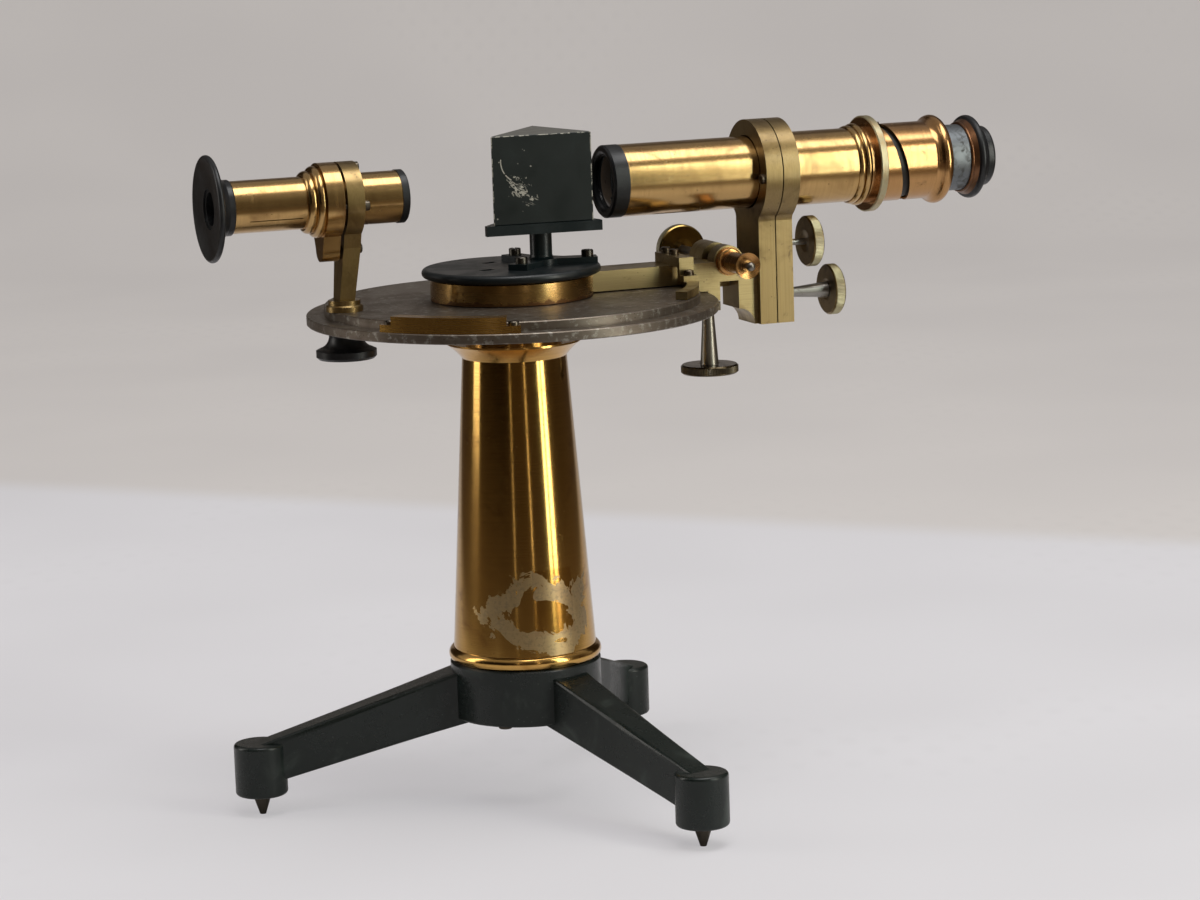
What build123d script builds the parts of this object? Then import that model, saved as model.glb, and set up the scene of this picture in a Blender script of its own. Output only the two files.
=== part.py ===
from build123d import *
import math
import os

# A small brass goniometer: a tripod stand carries a divided circle, a fixed viewing tube
# stands at the left of the circle, and a radial arm carries the telescope round it.
# Millimetres. The vertical axis is Z, the floor is z = 0, and the two tubes lie along X.

# Clearances
RUNNING = 0.06            # radial, shaft turning or sliding in its bore
FREE = 0.3                # between bodies that pass each other without guiding
SCREW_ROOM = 0.05         # radial, round a fastener's shank

# Tripod
LEG_COUNT = 3
LEG_AZIMUTH = 47.7
FOOT_CIRCLE_RADIUS = 112.8
SPIKE_LENGTH = 8.5
SPIKE_ROOT_RADIUS = 4.0
SPIKE_TIP_RADIUS = 1.3
SPIKE_STUD_RADIUS = 2.6
SPIKE_STUD_LENGTH = 8.0
BOSS_RADIUS = 10.9
BOSS_HEIGHT = 22.0
BOSS_EDGE = 1.5
LEG_TIP_WIDTH = 10.5
LEG_TIP_DEPTH = 18.0
LEG_ROOT_WIDTH = 19.0
LEG_EDGE = 1.0
HUB_RADIUS = 31.5
HUB_BASE_HEIGHT = 36.5
HUB_DEPTH = 23.5
HUB_SCREW_COUNT = 3
HUB_SCREW_CIRCLE = 24.0
HUB_SCREW_OFFSET_ANGLE = 60.0
HUB_SCREW_LENGTH = 15.0

# Column
COLUMN_LENGTH = 127.2
COLUMN_FOOT_RADIUS = 29.8
COLUMN_HEAD_RADIUS = 21.7
COLUMN_WALL = 2.0
COLUMN_SPIGOT = 6.0
BEAD_HEIGHT = 5.6
BEAD_STANDOUT = 2.1
NECK_FLARE = 6.3
NECK_FLARE_HEIGHT = 6.0
NECK_LIP = 0.8
NECK_SEAT_HEIGHT = 9.7
NECK_SEAT_RADIUS = 20.0
NECK_SPIGOT = 8.0

# Circle
LIMB_RADIUS = 85.0
LIMB_THICKNESS = 4.0
CIRCLE_RADIUS = 77.6
CIRCLE_THICKNESS = 3.7
DISC_EDGE = 0.4
AXLE_RADIUS = 6.0
LIMB_VERNIER_AZIMUTH = -127.8
LIMB_VERNIER_HALF_SPAN = 20.4
LIMB_VERNIER_RAISED_HALF_SPAN = 16.6
LIMB_VERNIER_TAB_HEIGHT = 3.0
LIMB_VERNIER_HEIGHT = 6.5
LIMB_VERNIER_SETBACK = 0.8

# Arm hub and object table
DRUM_RADIUS = 33.6
DRUM_HEIGHT = 8.9
TABLE_RADIUS = 37.0
TABLE_THICKNESS = 3.7
TABLE_SLEEVE_RADIUS = 8.5
TABLE_TURN = -5.0
TABLE_SKIN = 1.5
HOLDER_X = 12.5
HOLDER_Y = -2.0
SPIDER_ARM_LENGTH = 23.0
SPIDER_ARM_WIDTH = 8.4
SPIDER_THICKNESS = 2.5
SPIDER_FIRST_ARM = -10.0
SPIDER_HUB_RADIUS = 7.5
SPIDER_SCREW_SETBACK = 3.9
POST_RADIUS = 4.6
POST_HEIGHT = 11.4
POST_FLARE = 1.2
PRISM_PLATE_THICKNESS = 4.1
PRISM_HEIGHT = 36.5
PRISM_LEFT = -10.0
PRISM_RIGHT = 32.5
PRISM_FRONT = -13.0
PRISM_APEX_X = 19.0
PRISM_APEX_Y = 30.0
PRISM_PLATE_SIDE = 3.2
PRISM_PLATE_FRONT = 1.3
PRISM_PLATE_BACK = 2.0
TABLE_MARK_LENGTH = 6.0
TABLE_MARK_WIDTH = 3.6
TABLE_MARK_DEPTH = 0.6

# Both tubes
TUBE_AXIS_ABOVE_CIRCLE = 45.0

# Viewing tube
VIEWER_RADIUS = 10.6
VIEWER_WALL = 1.0
VIEWER_LEFT_END = -118.4
VIEWER_RIGHT_END = -45.5
VIEWER_CAP_LENGTH = 3.1
VIEWER_CAP_STANDOUT = 0.3
VIEWER_RING_RADIUS = 15.6
VIEWER_RING_THICKNESS = 7.2
VIEWER_RING_GAP = 1.1
VIEWER_RING_ROOM = 0.5
VIEWER_COLLAR_LENGTH = 6.8
VIEWER_LOBE_HALF_WIDTH = 5.0
VIEWER_LOBE_DROP = 24.5
VIEWER_LOBE_FLARE = 3.5
VIEWER_LOBE_NECK_DROP = 11.0
VIEWER_SCREW_CIRCLE = 13.1
VIEWER_SCREW_TIP_GAP = 0.35
LOBE_SCREW_GRIP = 4.0
SAW_CUT_START = 6.0
SAW_CUT_END = 28.0
SAW_CUT_WIDTH = 0.4
VIEWER_RING_X = -69.8
PILLAR_X = -72.2
PILLAR_FOOT_WIDTH = 9.0
PILLAR_FOOT_DEPTH = 6.4
PILLAR_HEAD_WIDTH = 13.0
PILLAR_HEAD_FLARE = 3.5
PILLAR_FLARE_DROP = 8.0
PILLAR_SHOULDER_DROP = 19.0
PILLAR_BASE_RADIUS = 7.6
PILLAR_BASE_HEIGHT = 2.7
PILLAR_STEP_RADIUS = 6.6
PILLAR_STEP_HEIGHT = 1.8
PILLAR_STUD_RADIUS = 2.5
EYECUP_RADIUS = 21.6
EYECUP_LENGTH = 9.6
EYECUP_RIM_THICKNESS = 2.6
EYECUP_DISH = 1.2
EYECUP_HOLE_RADIUS = 6.8
EYECUP_SEAT_RADIUS = 8.3
EYECUP_SEAT_DEPTH = 0.8
EYECUP_NECK_RADIUS = 11.3
EYECUP_SOCKET = 3.0
DRAWTUBE_LENGTH = 26.0
DRAWTUBE_WALL = 0.8
STAND_KNOB_RADIUS = 12.35
STAND_KNOB_NECK_RADIUS = 7.2
STAND_KNOB_RIM = 3.6
STAND_KNOB_HEIGHT = 11.5

# Radial arm
ARM_HALF_WIDTH = 8.8
ARM_DEPTH = 8.4
ARM_LEG_THICKNESS = 8.4
ARM_LEG_DROP = 19.0
ARM_COVE = 7.0
ARM_VERNIER_WIDTH = 5.0
ARM_VERNIER_HEIGHT = 3.2
ARM_VERNIER_START = -43.0
ARM_VERNIER_END = -7.0
BRACKET_X = 67.4
BRACKET_WIDTH = 6.4
BRACKET_SCREW_HALF_SPACING = 4.6
BRACKET_SCREW_GRIP = 4.0
BRACKET_THICKNESS = 4.1
BRACKET_LIP = 9.4
BRACKET_WALL = 2.5
BRACKET_STEP = 4.6
BRACKET_STEP_THICKNESS = 2.4

# Tangent screw
TANGENT_X = 93.5
TANGENT_BOSS_RADIUS = 6.6
TANGENT_FAR_END = 18.5
TONGUE_GAP_NEAR = -1.5
TONGUE_GAP_FAR = 4.5
TONGUE_THICKNESS = 3.0
TONGUE_LENGTH = 7.6
TONGUE_TOP = 3.6
TONGUE_ROOT = 3.0
TONGUE_CONTACT = 0.1
TANGENT_SCREW_RADIUS = 1.9
TANGENT_KNOB_FACE = 42.0
TANGENT_TRAVEL = 0.5
PAD_LENGTH = 1.8
KNOB_RADIUS = 10.6
KNOB_THICKNESS = 4.7
KNOB_EDGE = 0.5
BARREL_RADIUS = 4.4
BARREL_LENGTH = 18.7
BARREL_BORE_RADIUS = 3.3
BARREL_CAP_RADIUS = 5.45
BARREL_CAP_LENGTH = 2.2
PLUNGER_RADIUS = 1.3
PLUNGER_BALL_RADIUS = 1.9
PLUNGER_COLLAR_RADIUS = 3.1
SPRING_WIRE_RADIUS = 0.4
SPRING_TURNS = 6

# Rim clamp
CLAMP_HALF_WIDTH = 6.0
CLAMP_OUTER_X = 90.5
CLAMP_SCREW_X = 87.2
CLAMP_SCREW_RADIUS = 1.4
JAW_THICKNESS = 3.7
JAW_INNER_X = 79.5
CLAMP_STEM_TOP_RADIUS = 2.4
CLAMP_STEM_ROOT_RADIUS = 3.9
CLAMP_STEM_LENGTH = 23.2
CLAMP_KNOB_RADIUS = 12.0
CLAMP_KNOB_THICKNESS = 3.9

# Telescope carrier
CARRIER_X = 106.2
CARRIER_THICKNESS = 7.4
CARRIER_SEAM = 0.5
CARRIER_RING_RADIUS = 22.0
CARRIER_HALF_WIDTH = 12.0
CARRIER_FILLET = 3.5
GUARD_ROOM = 0.5
TILT_AXIS_DROP = 42.0
TILT_RIB_RADIUS = 1.5
UPPER_SCREW_RISE = 10.8
UPPER_SCREW_RADIUS = 1.4
UPPER_KNOB_FACE = 132.4
LOWER_SCREW_DROP = 10.5
LOWER_SCREW_RADIUS = 1.7
LOWER_SCREW_ROOT_RADIUS = 3.4
LOWER_KNOB_FACE = 141.9
ADJUST_SHANK_RADIUS = 1.2
ADJUST_SHANK_DEPTH = 12.0

# Telescope
SCOPE_RADIUS = 15.0
SCOPE_WALL = 1.1
SCOPE_LEFT_END = 41.4
CELL_LENGTH = 6.8
CELL_STANDOUT = 0.15
CELL_LIP_RADIUS = 11.0
BODY_RADIUS = 15.6
BODY_RIGHT_END = 151.8
BEAD_RUN = 5.4
GUIDE_RADIUS = 15.44
GUIDE_WALL = 1.28
GUIDE_RELIEF = 0.54
GUIDE_LEFT_LAND = 6.0
GUIDE_RIGHT_LAND = 3.5
GUIDE_RIGHT_END = 187.5
SLEEVE_RADIUS = 16.5
SLEEVE_RIGHT_END = 188.1
GRIP_SETBACK = 2.3
GRIP_RADIUS = 20.4
GRIP_THICKNESS = 3.4
LIP_RADIUS = 18.9
LIP_LENGTH = 6.9
SLOT_WIDTH = 3.2
SLOT_PITCH = 21.4
SLOT_START_ANGLE = -7.0
SLOT_END_ANGLE = 187.0
PIN_X = 166.6
PIN_RADIUS = 1.5
PIN_STANDOUT = 0.9
FOCUS_TURN = 180.0
DRAW_WALL = 1.1
DRAW_LEFT_END = 161.5
COLLAR_END = 204.8
COLLAR_RING_RADIUS = 16.2
EYE_RING_START = 207.8
EYE_RING_END = 213.8
EYE_RING_RADIUS = 17.8
EYE_DISC_RADIUS = 12.8
EYE_DISC_END = 217.4
EYE_HOLE_RADIUS = 3.0

# Heights and places worked out from the sizes above
boss_top = SPIKE_LENGTH + BOSS_HEIGHT
hub_top = HUB_BASE_HEIGHT + HUB_DEPTH
column_top = hub_top + COLUMN_LENGTH
neck_top = column_top + NECK_FLARE_HEIGHT + NECK_LIP
limb_bottom = neck_top + NECK_SEAT_HEIGHT
limb_top = limb_bottom + LIMB_THICKNESS
circle_top = limb_top + CIRCLE_THICKNESS
drum_bottom = circle_top + FREE
drum_top = drum_bottom + DRUM_HEIGHT
table_bottom = drum_top + FREE
table_top = table_bottom + TABLE_THICKNESS
spider_top = table_top + SPIDER_THICKNESS
post_top = spider_top + POST_HEIGHT
prism_base = post_top + PRISM_PLATE_THICKNESS
tube_height = circle_top + TUBE_AXIS_ABOVE_CIRCLE
arm_bottom = circle_top + 2 * FREE
arm_top = arm_bottom + ARM_DEPTH
carrier_base = arm_bottom - ARM_LEG_DROP
tilt_axis_height = tube_height - TILT_AXIS_DROP
upper_screw_height = tilt_axis_height + UPPER_SCREW_RISE
lower_screw_height = tilt_axis_height - LOWER_SCREW_DROP
carrier_right = CARRIER_X + CARRIER_THICKNESS
tilt_left = carrier_right + CARRIER_SEAM
tilt_right = tilt_left + CARRIER_THICKNESS
ring_two_left = VIEWER_RING_X - VIEWER_RING_THICKNESS / 2
ring_two_right = ring_two_left + VIEWER_RING_THICKNESS
ring_one_right = ring_two_left - VIEWER_RING_GAP
ring_one_left = ring_one_right - VIEWER_RING_THICKNESS
viewer_bore = VIEWER_RADIUS - VIEWER_WALL
scope_bore = SCOPE_RADIUS - SCOPE_WALL
guide_bore = GUIDE_RADIUS - GUIDE_WALL
draw_radius = guide_bore - RUNNING
draw_bore = draw_radius - DRAW_WALL
guide_spigot = GUIDE_RADIUS - GUIDE_RELIEF
body_end = BODY_RIGHT_END + BEAD_RUN
sleeve_left = body_end + FREE
tangent_height = arm_top
tongue_near = (TONGUE_GAP_NEAR + TONGUE_GAP_FAR - TONGUE_THICKNESS) / 2
tongue_far = tongue_near + TONGUE_THICKNESS

ALONG_X = Vector(1, 0, 0)
ALONG_Y = Vector(0, 1, 0)
ALONG_Z = Vector(0, 0, 1)


def outline(start, *steps):
    """A closed face; a step is a point, or a pair (point on the arc, end) for an arc."""
    edges = []
    here = start
    for step in steps:
        if isinstance(step[0], tuple):
            edges.append(ThreePointArc(here, step[0], step[1]))
            here = step[1]
        else:
            edges.append(Line(here, step))
            here = step
    edges.append(Line(here, start))
    return make_face(edges)


def turned(direction, centre, start, *steps):
    """A lathe-turned solid from an outline of (distance along the axis, radius)."""
    radial = ALONG_X if abs(direction.Z) > 0.5 else ALONG_Z
    plane = Plane(origin=centre, x_dir=direction, z_dir=direction.cross(radial))
    return revolve(plane * outline(start, *steps), Axis(centre, direction))


def bar(direction, centre, start, end, radius, bore=0):
    """A round bar, or a tube where bore is given, between two places along the axis."""
    return turned(direction, centre, (start, bore), (start, radius), (end, radius), (end, bore))


def block(x_range, y_range, z_range):
    """A box between three pairs of limits."""
    sizes = [pair[1] - pair[0] for pair in (x_range, y_range, z_range)]
    middle = [sum(pair) / 2 for pair in (x_range, y_range, z_range)]
    return Pos(*middle) * Box(*sizes)


def ring_sector(inner, outer, bottom, top, start, end):
    """A piece of a flat ring about Z between two azimuths in degrees."""
    section = Plane.XZ * outline((inner, bottom), (outer, bottom), (outer, top), (inner, top))
    return Rot(0, 0, start) * revolve(section, Axis.Z, end - start)


def polar(radius, azimuth, height):
    """A point at a radius and azimuth about Z."""
    angle = math.radians(azimuth)
    return (radius * math.cos(angle), radius * math.sin(angle), height)


def cheese_screw(place, away, head_radius, head_height, shank_radius, length, turn=30):
    """A slotted screw whose head stands on place and whose shank points against away."""
    head = turned(ALONG_Z, (0, 0, 0), (0, 0), (0, head_radius), (head_height - 0.3, head_radius),
                  (head_height, head_radius - 0.3), (head_height, 0))
    slot = Pos(0, 0, head_height) * Rot(0, 0, turn) * Box(3 * head_radius, 0.7, head_height)
    shank = bar(ALONG_Z, (0, 0, 0), -length, 0, shank_radius)
    return Plane(origin=place, z_dir=away) * (head - slot + shank)


def screw_hole(place, away, shank_radius, length):
    """The hole that the shank of such a screw goes into."""
    return Plane(origin=place, z_dir=away) * bar(ALONG_Z, (0, 0, 0), -length - FREE, FREE,
                                                 shank_radius + SCREW_ROOM)


def lens_face(edge, radius, bulge):
    """The arc of a spherical lens face, from its rim to the axis."""
    ball = (radius ** 2 + bulge ** 2) / (2 * abs(bulge))
    halfway = abs(bulge) - ball + math.sqrt(ball ** 2 - radius ** 2 / 4)
    return (edge + math.copysign(halfway, bulge), radius / 2), (edge + bulge, 0)


def disc_knob(direction, centre, face, radius, thickness, bore):
    """A flat round finger knob with broken edges and a shallow dished face."""
    return turned(direction, centre, (face + KNOB_EDGE, bore), (face, 0.45 * radius),
                  (face, radius - KNOB_EDGE), (face + KNOB_EDGE, radius),
                  (face + thickness - KNOB_EDGE, radius), (face + thickness, radius - KNOB_EDGE),
                  (face + thickness, bore))


# Stand

leg_azimuths = [LEG_AZIMUTH + 360 / LEG_COUNT * i for i in range(LEG_COUNT)]
hub_screw_places = [
    polar(HUB_SCREW_CIRCLE, LEG_AZIMUTH + HUB_SCREW_OFFSET_ANGLE + 360 / HUB_SCREW_COUNT * i, HUB_BASE_HEIGHT)
    for i in range(HUB_SCREW_COUNT)
]
HUB_SCREW = dict(head_radius=2.9, head_height=2.0, shank_radius=1.8)
column_bore_foot = COLUMN_FOOT_RADIUS - COLUMN_WALL
hub_spigot_radius = column_bore_foot - SCREW_ROOM


def leg_blank():
    """One tapered leg along +X, from inside the hub to inside its foot boss."""
    root = Plane(origin=(HUB_RADIUS * 0.6, 0, hub_top - HUB_DEPTH / 2), x_dir=(0, 1, 0), z_dir=(1, 0, 0))
    tip = Plane(origin=(FOOT_CIRCLE_RADIUS, 0, boss_top - LEG_TIP_DEPTH / 2), x_dir=(0, 1, 0), z_dir=(1, 0, 0))
    leg = loft([root * RectangleRounded(LEG_ROOT_WIDTH, HUB_DEPTH, LEG_EDGE),
                tip * RectangleRounded(LEG_TIP_WIDTH, LEG_TIP_DEPTH, LEG_EDGE)])
    edge = BOSS_EDGE
    shoulder = edge * (1 - math.sqrt(0.5))
    boss = turned(ALONG_Z, (FOOT_CIRCLE_RADIUS, 0, 0), (SPIKE_LENGTH, 0), (SPIKE_LENGTH, BOSS_RADIUS - edge),
                  ((SPIKE_LENGTH + shoulder, BOSS_RADIUS - shoulder), (SPIKE_LENGTH + edge, BOSS_RADIUS)),
                  (boss_top - edge, BOSS_RADIUS),
                  ((boss_top - shoulder, BOSS_RADIUS - shoulder), (boss_top, BOSS_RADIUS - edge)),
                  (boss_top, 0))
    stud_hole = bar(ALONG_Z, (FOOT_CIRCLE_RADIUS, 0, 0), SPIKE_LENGTH - 1, SPIKE_LENGTH + SPIKE_STUD_LENGTH + FREE,
                    SPIKE_STUD_RADIUS + SCREW_ROOM)
    return leg + boss, stud_hole


def tripod():
    hub = turned(ALONG_Z, (0, 0, 0), (HUB_BASE_HEIGHT, 0), (HUB_BASE_HEIGHT, HUB_RADIUS - 0.8),
                 (HUB_BASE_HEIGHT + 0.8, HUB_RADIUS), (hub_top - 0.8, HUB_RADIUS), (hub_top, HUB_RADIUS - 0.8),
                 (hub_top, hub_spigot_radius), (hub_top + COLUMN_SPIGOT, hub_spigot_radius),
                 (hub_top + COLUMN_SPIGOT, 0))
    leg, stud_hole = leg_blank()
    for azimuth in leg_azimuths:
        hub += Rot(0, 0, azimuth) * leg
    for azimuth in leg_azimuths:
        hub -= Rot(0, 0, azimuth) * stud_hole
    for place in hub_screw_places:
        hub -= screw_hole(place, -ALONG_Z, HUB_SCREW["shank_radius"], HUB_SCREW_LENGTH)
    return hub


def foot_spikes():
    spike = turned(ALONG_Z, (FOOT_CIRCLE_RADIUS, 0, 0), (0, 0), (0, SPIKE_TIP_RADIUS),
                   (SPIKE_LENGTH, SPIKE_ROOT_RADIUS), (SPIKE_LENGTH, SPIKE_STUD_RADIUS),
                   (SPIKE_LENGTH + SPIKE_STUD_LENGTH, SPIKE_STUD_RADIUS), (SPIKE_LENGTH + SPIKE_STUD_LENGTH, 0))
    return Compound([Rot(0, 0, azimuth) * spike for azimuth in leg_azimuths])


def hub_screws():
    return Compound([cheese_screw(place, -ALONG_Z, length=HUB_SCREW_LENGTH, **HUB_SCREW)
                     for place in hub_screw_places])


def column():
    shell = turned(ALONG_Z, (0, 0, 0), (hub_top, column_bore_foot), (hub_top, COLUMN_FOOT_RADIUS),
                   (hub_top + BEAD_HEIGHT, COLUMN_FOOT_RADIUS), (column_top, COLUMN_HEAD_RADIUS),
                   (column_top, COLUMN_HEAD_RADIUS - COLUMN_WALL),
                   (hub_top + BEAD_HEIGHT, column_bore_foot))
    return shell


def column_bead():
    inner = COLUMN_FOOT_RADIUS
    top = hub_top + BEAD_HEIGHT
    crown = (hub_top + BEAD_HEIGHT / 2, inner + BEAD_STANDOUT)
    return turned(ALONG_Z, (0, 0, 0), (hub_top, inner), (hub_top, inner + 0.5), (crown, (top, inner + 0.4)),
                  (top, inner))


def column_neck():
    spigot = COLUMN_HEAD_RADIUS - COLUMN_WALL - SCREW_ROOM
    low = column_top - NECK_SPIGOT
    flare = column_top + NECK_FLARE_HEIGHT
    wide = COLUMN_HEAD_RADIUS + NECK_FLARE
    hollow = (column_top + 0.6 * NECK_FLARE_HEIGHT, COLUMN_HEAD_RADIUS + 0.52 * NECK_FLARE)
    return turned(ALONG_Z, (0, 0, 0), (low, AXLE_RADIUS), (low, spigot - 1), (column_top, spigot),
                  (column_top, COLUMN_HEAD_RADIUS), (hollow, (flare, wide)), (neck_top, wide),
                  (neck_top, NECK_SEAT_RADIUS), (limb_bottom, NECK_SEAT_RADIUS), (limb_bottom, AXLE_RADIUS))


def axle():
    """The vertical spindle: fast in the neck and the plates, and a journal for arm and table."""
    head = AXLE_RADIUS + 3
    low = column_top - NECK_SPIGOT
    top = table_top - TABLE_SKIN - FREE
    return turned(ALONG_Z, (0, 0, 0), (low - 2, 0), (low - 2, head), (low, head), (low, AXLE_RADIUS),
                  (top - 0.5, AXLE_RADIUS), (top, AXLE_RADIUS - 0.5), (top, 0))


pillar_place = (PILLAR_X, 0, 0)
stud_room = bar(ALONG_Z, pillar_place, limb_bottom - 1, circle_top + 1, PILLAR_STUD_RADIUS + SCREW_ROOM)
LIMB_VERNIER_SCREW = dict(head_radius=2.2, head_height=1.6, shank_radius=1.1)
limb_vernier_inner = CIRCLE_RADIUS + FREE
limb_vernier_outer = LIMB_RADIUS - LIMB_VERNIER_SETBACK
limb_vernier_screw_length = LIMB_VERNIER_TAB_HEIGHT + 2.4
limb_vernier_screw_places = [
    polar((limb_vernier_inner + limb_vernier_outer) / 2,
          LIMB_VERNIER_AZIMUTH + side * (LIMB_VERNIER_HALF_SPAN + LIMB_VERNIER_RAISED_HALF_SPAN) / 2,
          limb_top + LIMB_VERNIER_TAB_HEIGHT)
    for side in (-1, 1)
]


def limb_plate():
    plate = turned(ALONG_Z, (0, 0, 0), (limb_bottom, AXLE_RADIUS), (limb_bottom, LIMB_RADIUS - DISC_EDGE),
                   (limb_bottom + DISC_EDGE, LIMB_RADIUS), (limb_top - DISC_EDGE, LIMB_RADIUS),
                   (limb_top, LIMB_RADIUS - DISC_EDGE), (limb_top, AXLE_RADIUS))
    for place in limb_vernier_screw_places:
        plate -= screw_hole(place, ALONG_Z, LIMB_VERNIER_SCREW["shank_radius"], limb_vernier_screw_length)
    return plate - stud_room


def divided_circle():
    disc = turned(ALONG_Z, (0, 0, 0), (limb_top, AXLE_RADIUS), (limb_top, CIRCLE_RADIUS),
                  (circle_top - DISC_EDGE, CIRCLE_RADIUS), (circle_top, CIRCLE_RADIUS - DISC_EDGE),
                  (circle_top, AXLE_RADIUS))
    return disc - stud_room


def limb_vernier():
    low = ring_sector(limb_vernier_inner, limb_vernier_outer, limb_top, limb_top + LIMB_VERNIER_TAB_HEIGHT,
                      LIMB_VERNIER_AZIMUTH - LIMB_VERNIER_HALF_SPAN, LIMB_VERNIER_AZIMUTH + LIMB_VERNIER_HALF_SPAN)
    high = ring_sector(limb_vernier_inner, limb_vernier_outer, limb_top, limb_top + LIMB_VERNIER_HEIGHT,
                       LIMB_VERNIER_AZIMUTH - LIMB_VERNIER_RAISED_HALF_SPAN,
                       LIMB_VERNIER_AZIMUTH + LIMB_VERNIER_RAISED_HALF_SPAN)
    piece = low + high
    for place in limb_vernier_screw_places:
        piece -= screw_hole(place, ALONG_Z, LIMB_VERNIER_SCREW["shank_radius"], limb_vernier_screw_length)
    return piece


def limb_vernier_screws():
    return Compound([cheese_screw(place, ALONG_Z, length=limb_vernier_screw_length, **LIMB_VERNIER_SCREW)
                     for place in limb_vernier_screw_places])


# Viewing tube and its pillar

viewer_centre = (0, 0, tube_height)
pillar_foot = circle_top + PILLAR_BASE_HEIGHT + PILLAR_STEP_HEIGHT
lobe_screw_drop = VIEWER_LOBE_DROP - VIEWER_LOBE_HALF_WIDTH + 0.4
VIEWER_SCREW = dict(head_radius=2.1, head_height=2.2, shank_radius=1.2)
viewer_screw_offsets = [(0, VIEWER_SCREW_CIRCLE), (-VIEWER_SCREW_CIRCLE, -1.5)]
viewer_screw_length = VIEWER_RING_THICKNESS + VIEWER_RING_GAP - VIEWER_SCREW_TIP_GAP
lobe_screw_length = VIEWER_RING_THICKNESS + VIEWER_RING_GAP + LOBE_SCREW_GRIP
viewer_screw_places = [(ring_two_right, y, tube_height + z) for y, z in viewer_screw_offsets]
lobe_screw_place = (ring_two_right, 0, tube_height - lobe_screw_drop)


def viewer_pillar():
    """The back ring with its tapered arm, cut through for the tube with room to tilt."""
    section = Plane(origin=(ring_two_left, 0, 0), x_dir=(0, 1, 0), z_dir=(1, 0, 0))
    shoulder = tube_height - PILLAR_SHOULDER_DROP
    head = PILLAR_HEAD_WIDTH / 2
    wide = head + PILLAR_HEAD_FLARE
    flare = tube_height - PILLAR_FLARE_DROP
    arm = outline((-head, shoulder), (head, shoulder), (wide, flare), (-wide, flare))
    ring = Pos(0, tube_height) * Circle(VIEWER_RING_RADIUS)
    hole = Pos(0, tube_height) * Circle(VIEWER_RADIUS + VIEWER_RING_ROOM)
    piece = extrude(section * (arm + ring - hole), VIEWER_RING_THICKNESS)
    foot_section = Pos(PILLAR_X, 0, pillar_foot) * Rectangle(PILLAR_FOOT_DEPTH, PILLAR_FOOT_WIDTH)
    head_section = Pos(VIEWER_RING_X, 0, shoulder) * Rectangle(VIEWER_RING_THICKNESS, PILLAR_HEAD_WIDTH)
    piece += loft([foot_section, head_section])
    for place in viewer_screw_places:
        piece -= screw_hole(place, ALONG_X, VIEWER_SCREW["shank_radius"], viewer_screw_length)
    return piece - screw_hole(lobe_screw_place, ALONG_X, VIEWER_SCREW["shank_radius"], lobe_screw_length)


def pillar_base():
    """The stepped round foot of the pillar, with the stud that goes down through both discs."""
    tip = limb_bottom - STAND_KNOB_HEIGHT * 0.75
    return turned(ALONG_Z, pillar_place, (tip, 0), (tip, PILLAR_STUD_RADIUS), (circle_top, PILLAR_STUD_RADIUS),
                  (circle_top, PILLAR_BASE_RADIUS), (circle_top + PILLAR_BASE_HEIGHT - 0.6, PILLAR_BASE_RADIUS),
                  (circle_top + PILLAR_BASE_HEIGHT, PILLAR_BASE_RADIUS - 0.6),
                  (circle_top + PILLAR_BASE_HEIGHT, PILLAR_STEP_RADIUS), (pillar_foot, PILLAR_STEP_RADIUS), (pillar_foot, 0))


def stand_knob():
    """The flared black nut under the circle that draws the pillar down."""
    top = limb_bottom - FREE
    rim_top = top - (STAND_KNOB_HEIGHT - STAND_KNOB_RIM)
    bottom = top - STAND_KNOB_HEIGHT
    return turned(ALONG_Z, pillar_place, (bottom, 0), (bottom, STAND_KNOB_RADIUS - 1),
                  (bottom + 1, STAND_KNOB_RADIUS), (rim_top, STAND_KNOB_RADIUS), (rim_top + 0.8, STAND_KNOB_RADIUS - 1.6),
                  ((rim_top + 2.2, STAND_KNOB_NECK_RADIUS + 1.2), (top, STAND_KNOB_NECK_RADIUS)),
                  (top, PILLAR_STUD_RADIUS + RUNNING), (top - STAND_KNOB_HEIGHT * 0.75, PILLAR_STUD_RADIUS + RUNNING),
                  (top - STAND_KNOB_HEIGHT * 0.75, 0))


def viewer_flange():
    """The front ring with its hanging lobe and the two turned beads beside it."""
    collar_left = ring_one_left - VIEWER_COLLAR_LENGTH
    step = VIEWER_COLLAR_LENGTH / 2
    beads = turned(ALONG_X, viewer_centre, (collar_left, VIEWER_RADIUS), (collar_left, VIEWER_RADIUS + 0.8),
                   ((collar_left + step * 0.55, VIEWER_RADIUS + 2.1), (collar_left + step, VIEWER_RADIUS + 1.7)),
                   ((collar_left + step * 1.55, VIEWER_RADIUS + 3.9), (ring_one_left, VIEWER_RADIUS + 3.4)),
                   (ring_one_left, VIEWER_RADIUS))
    section = Plane(origin=(ring_one_left, 0, 0), x_dir=(0, 1, 0), z_dir=(1, 0, 0))
    lobe_low = tube_height - VIEWER_LOBE_DROP
    half = VIEWER_LOBE_HALF_WIDTH
    neck = tube_height - VIEWER_LOBE_NECK_DROP
    lobe = outline((-half, lobe_low + half), ((0, lobe_low), (half, lobe_low + half)),
                   (half + VIEWER_LOBE_FLARE, neck), (-half - VIEWER_LOBE_FLARE, neck))
    ring = Pos(0, tube_height) * Circle(VIEWER_RING_RADIUS)
    hole = Pos(0, tube_height) * Circle(VIEWER_RADIUS)
    plate = extrude(section * (ring + lobe - hole), VIEWER_RING_THICKNESS)
    room = bar(ALONG_X, (0, 0, lobe_screw_place[2]), ring_one_right - LOBE_SCREW_GRIP - 1, ring_one_right + 1,
               VIEWER_SCREW["shank_radius"] + FREE)
    return beads + plate - room


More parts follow.
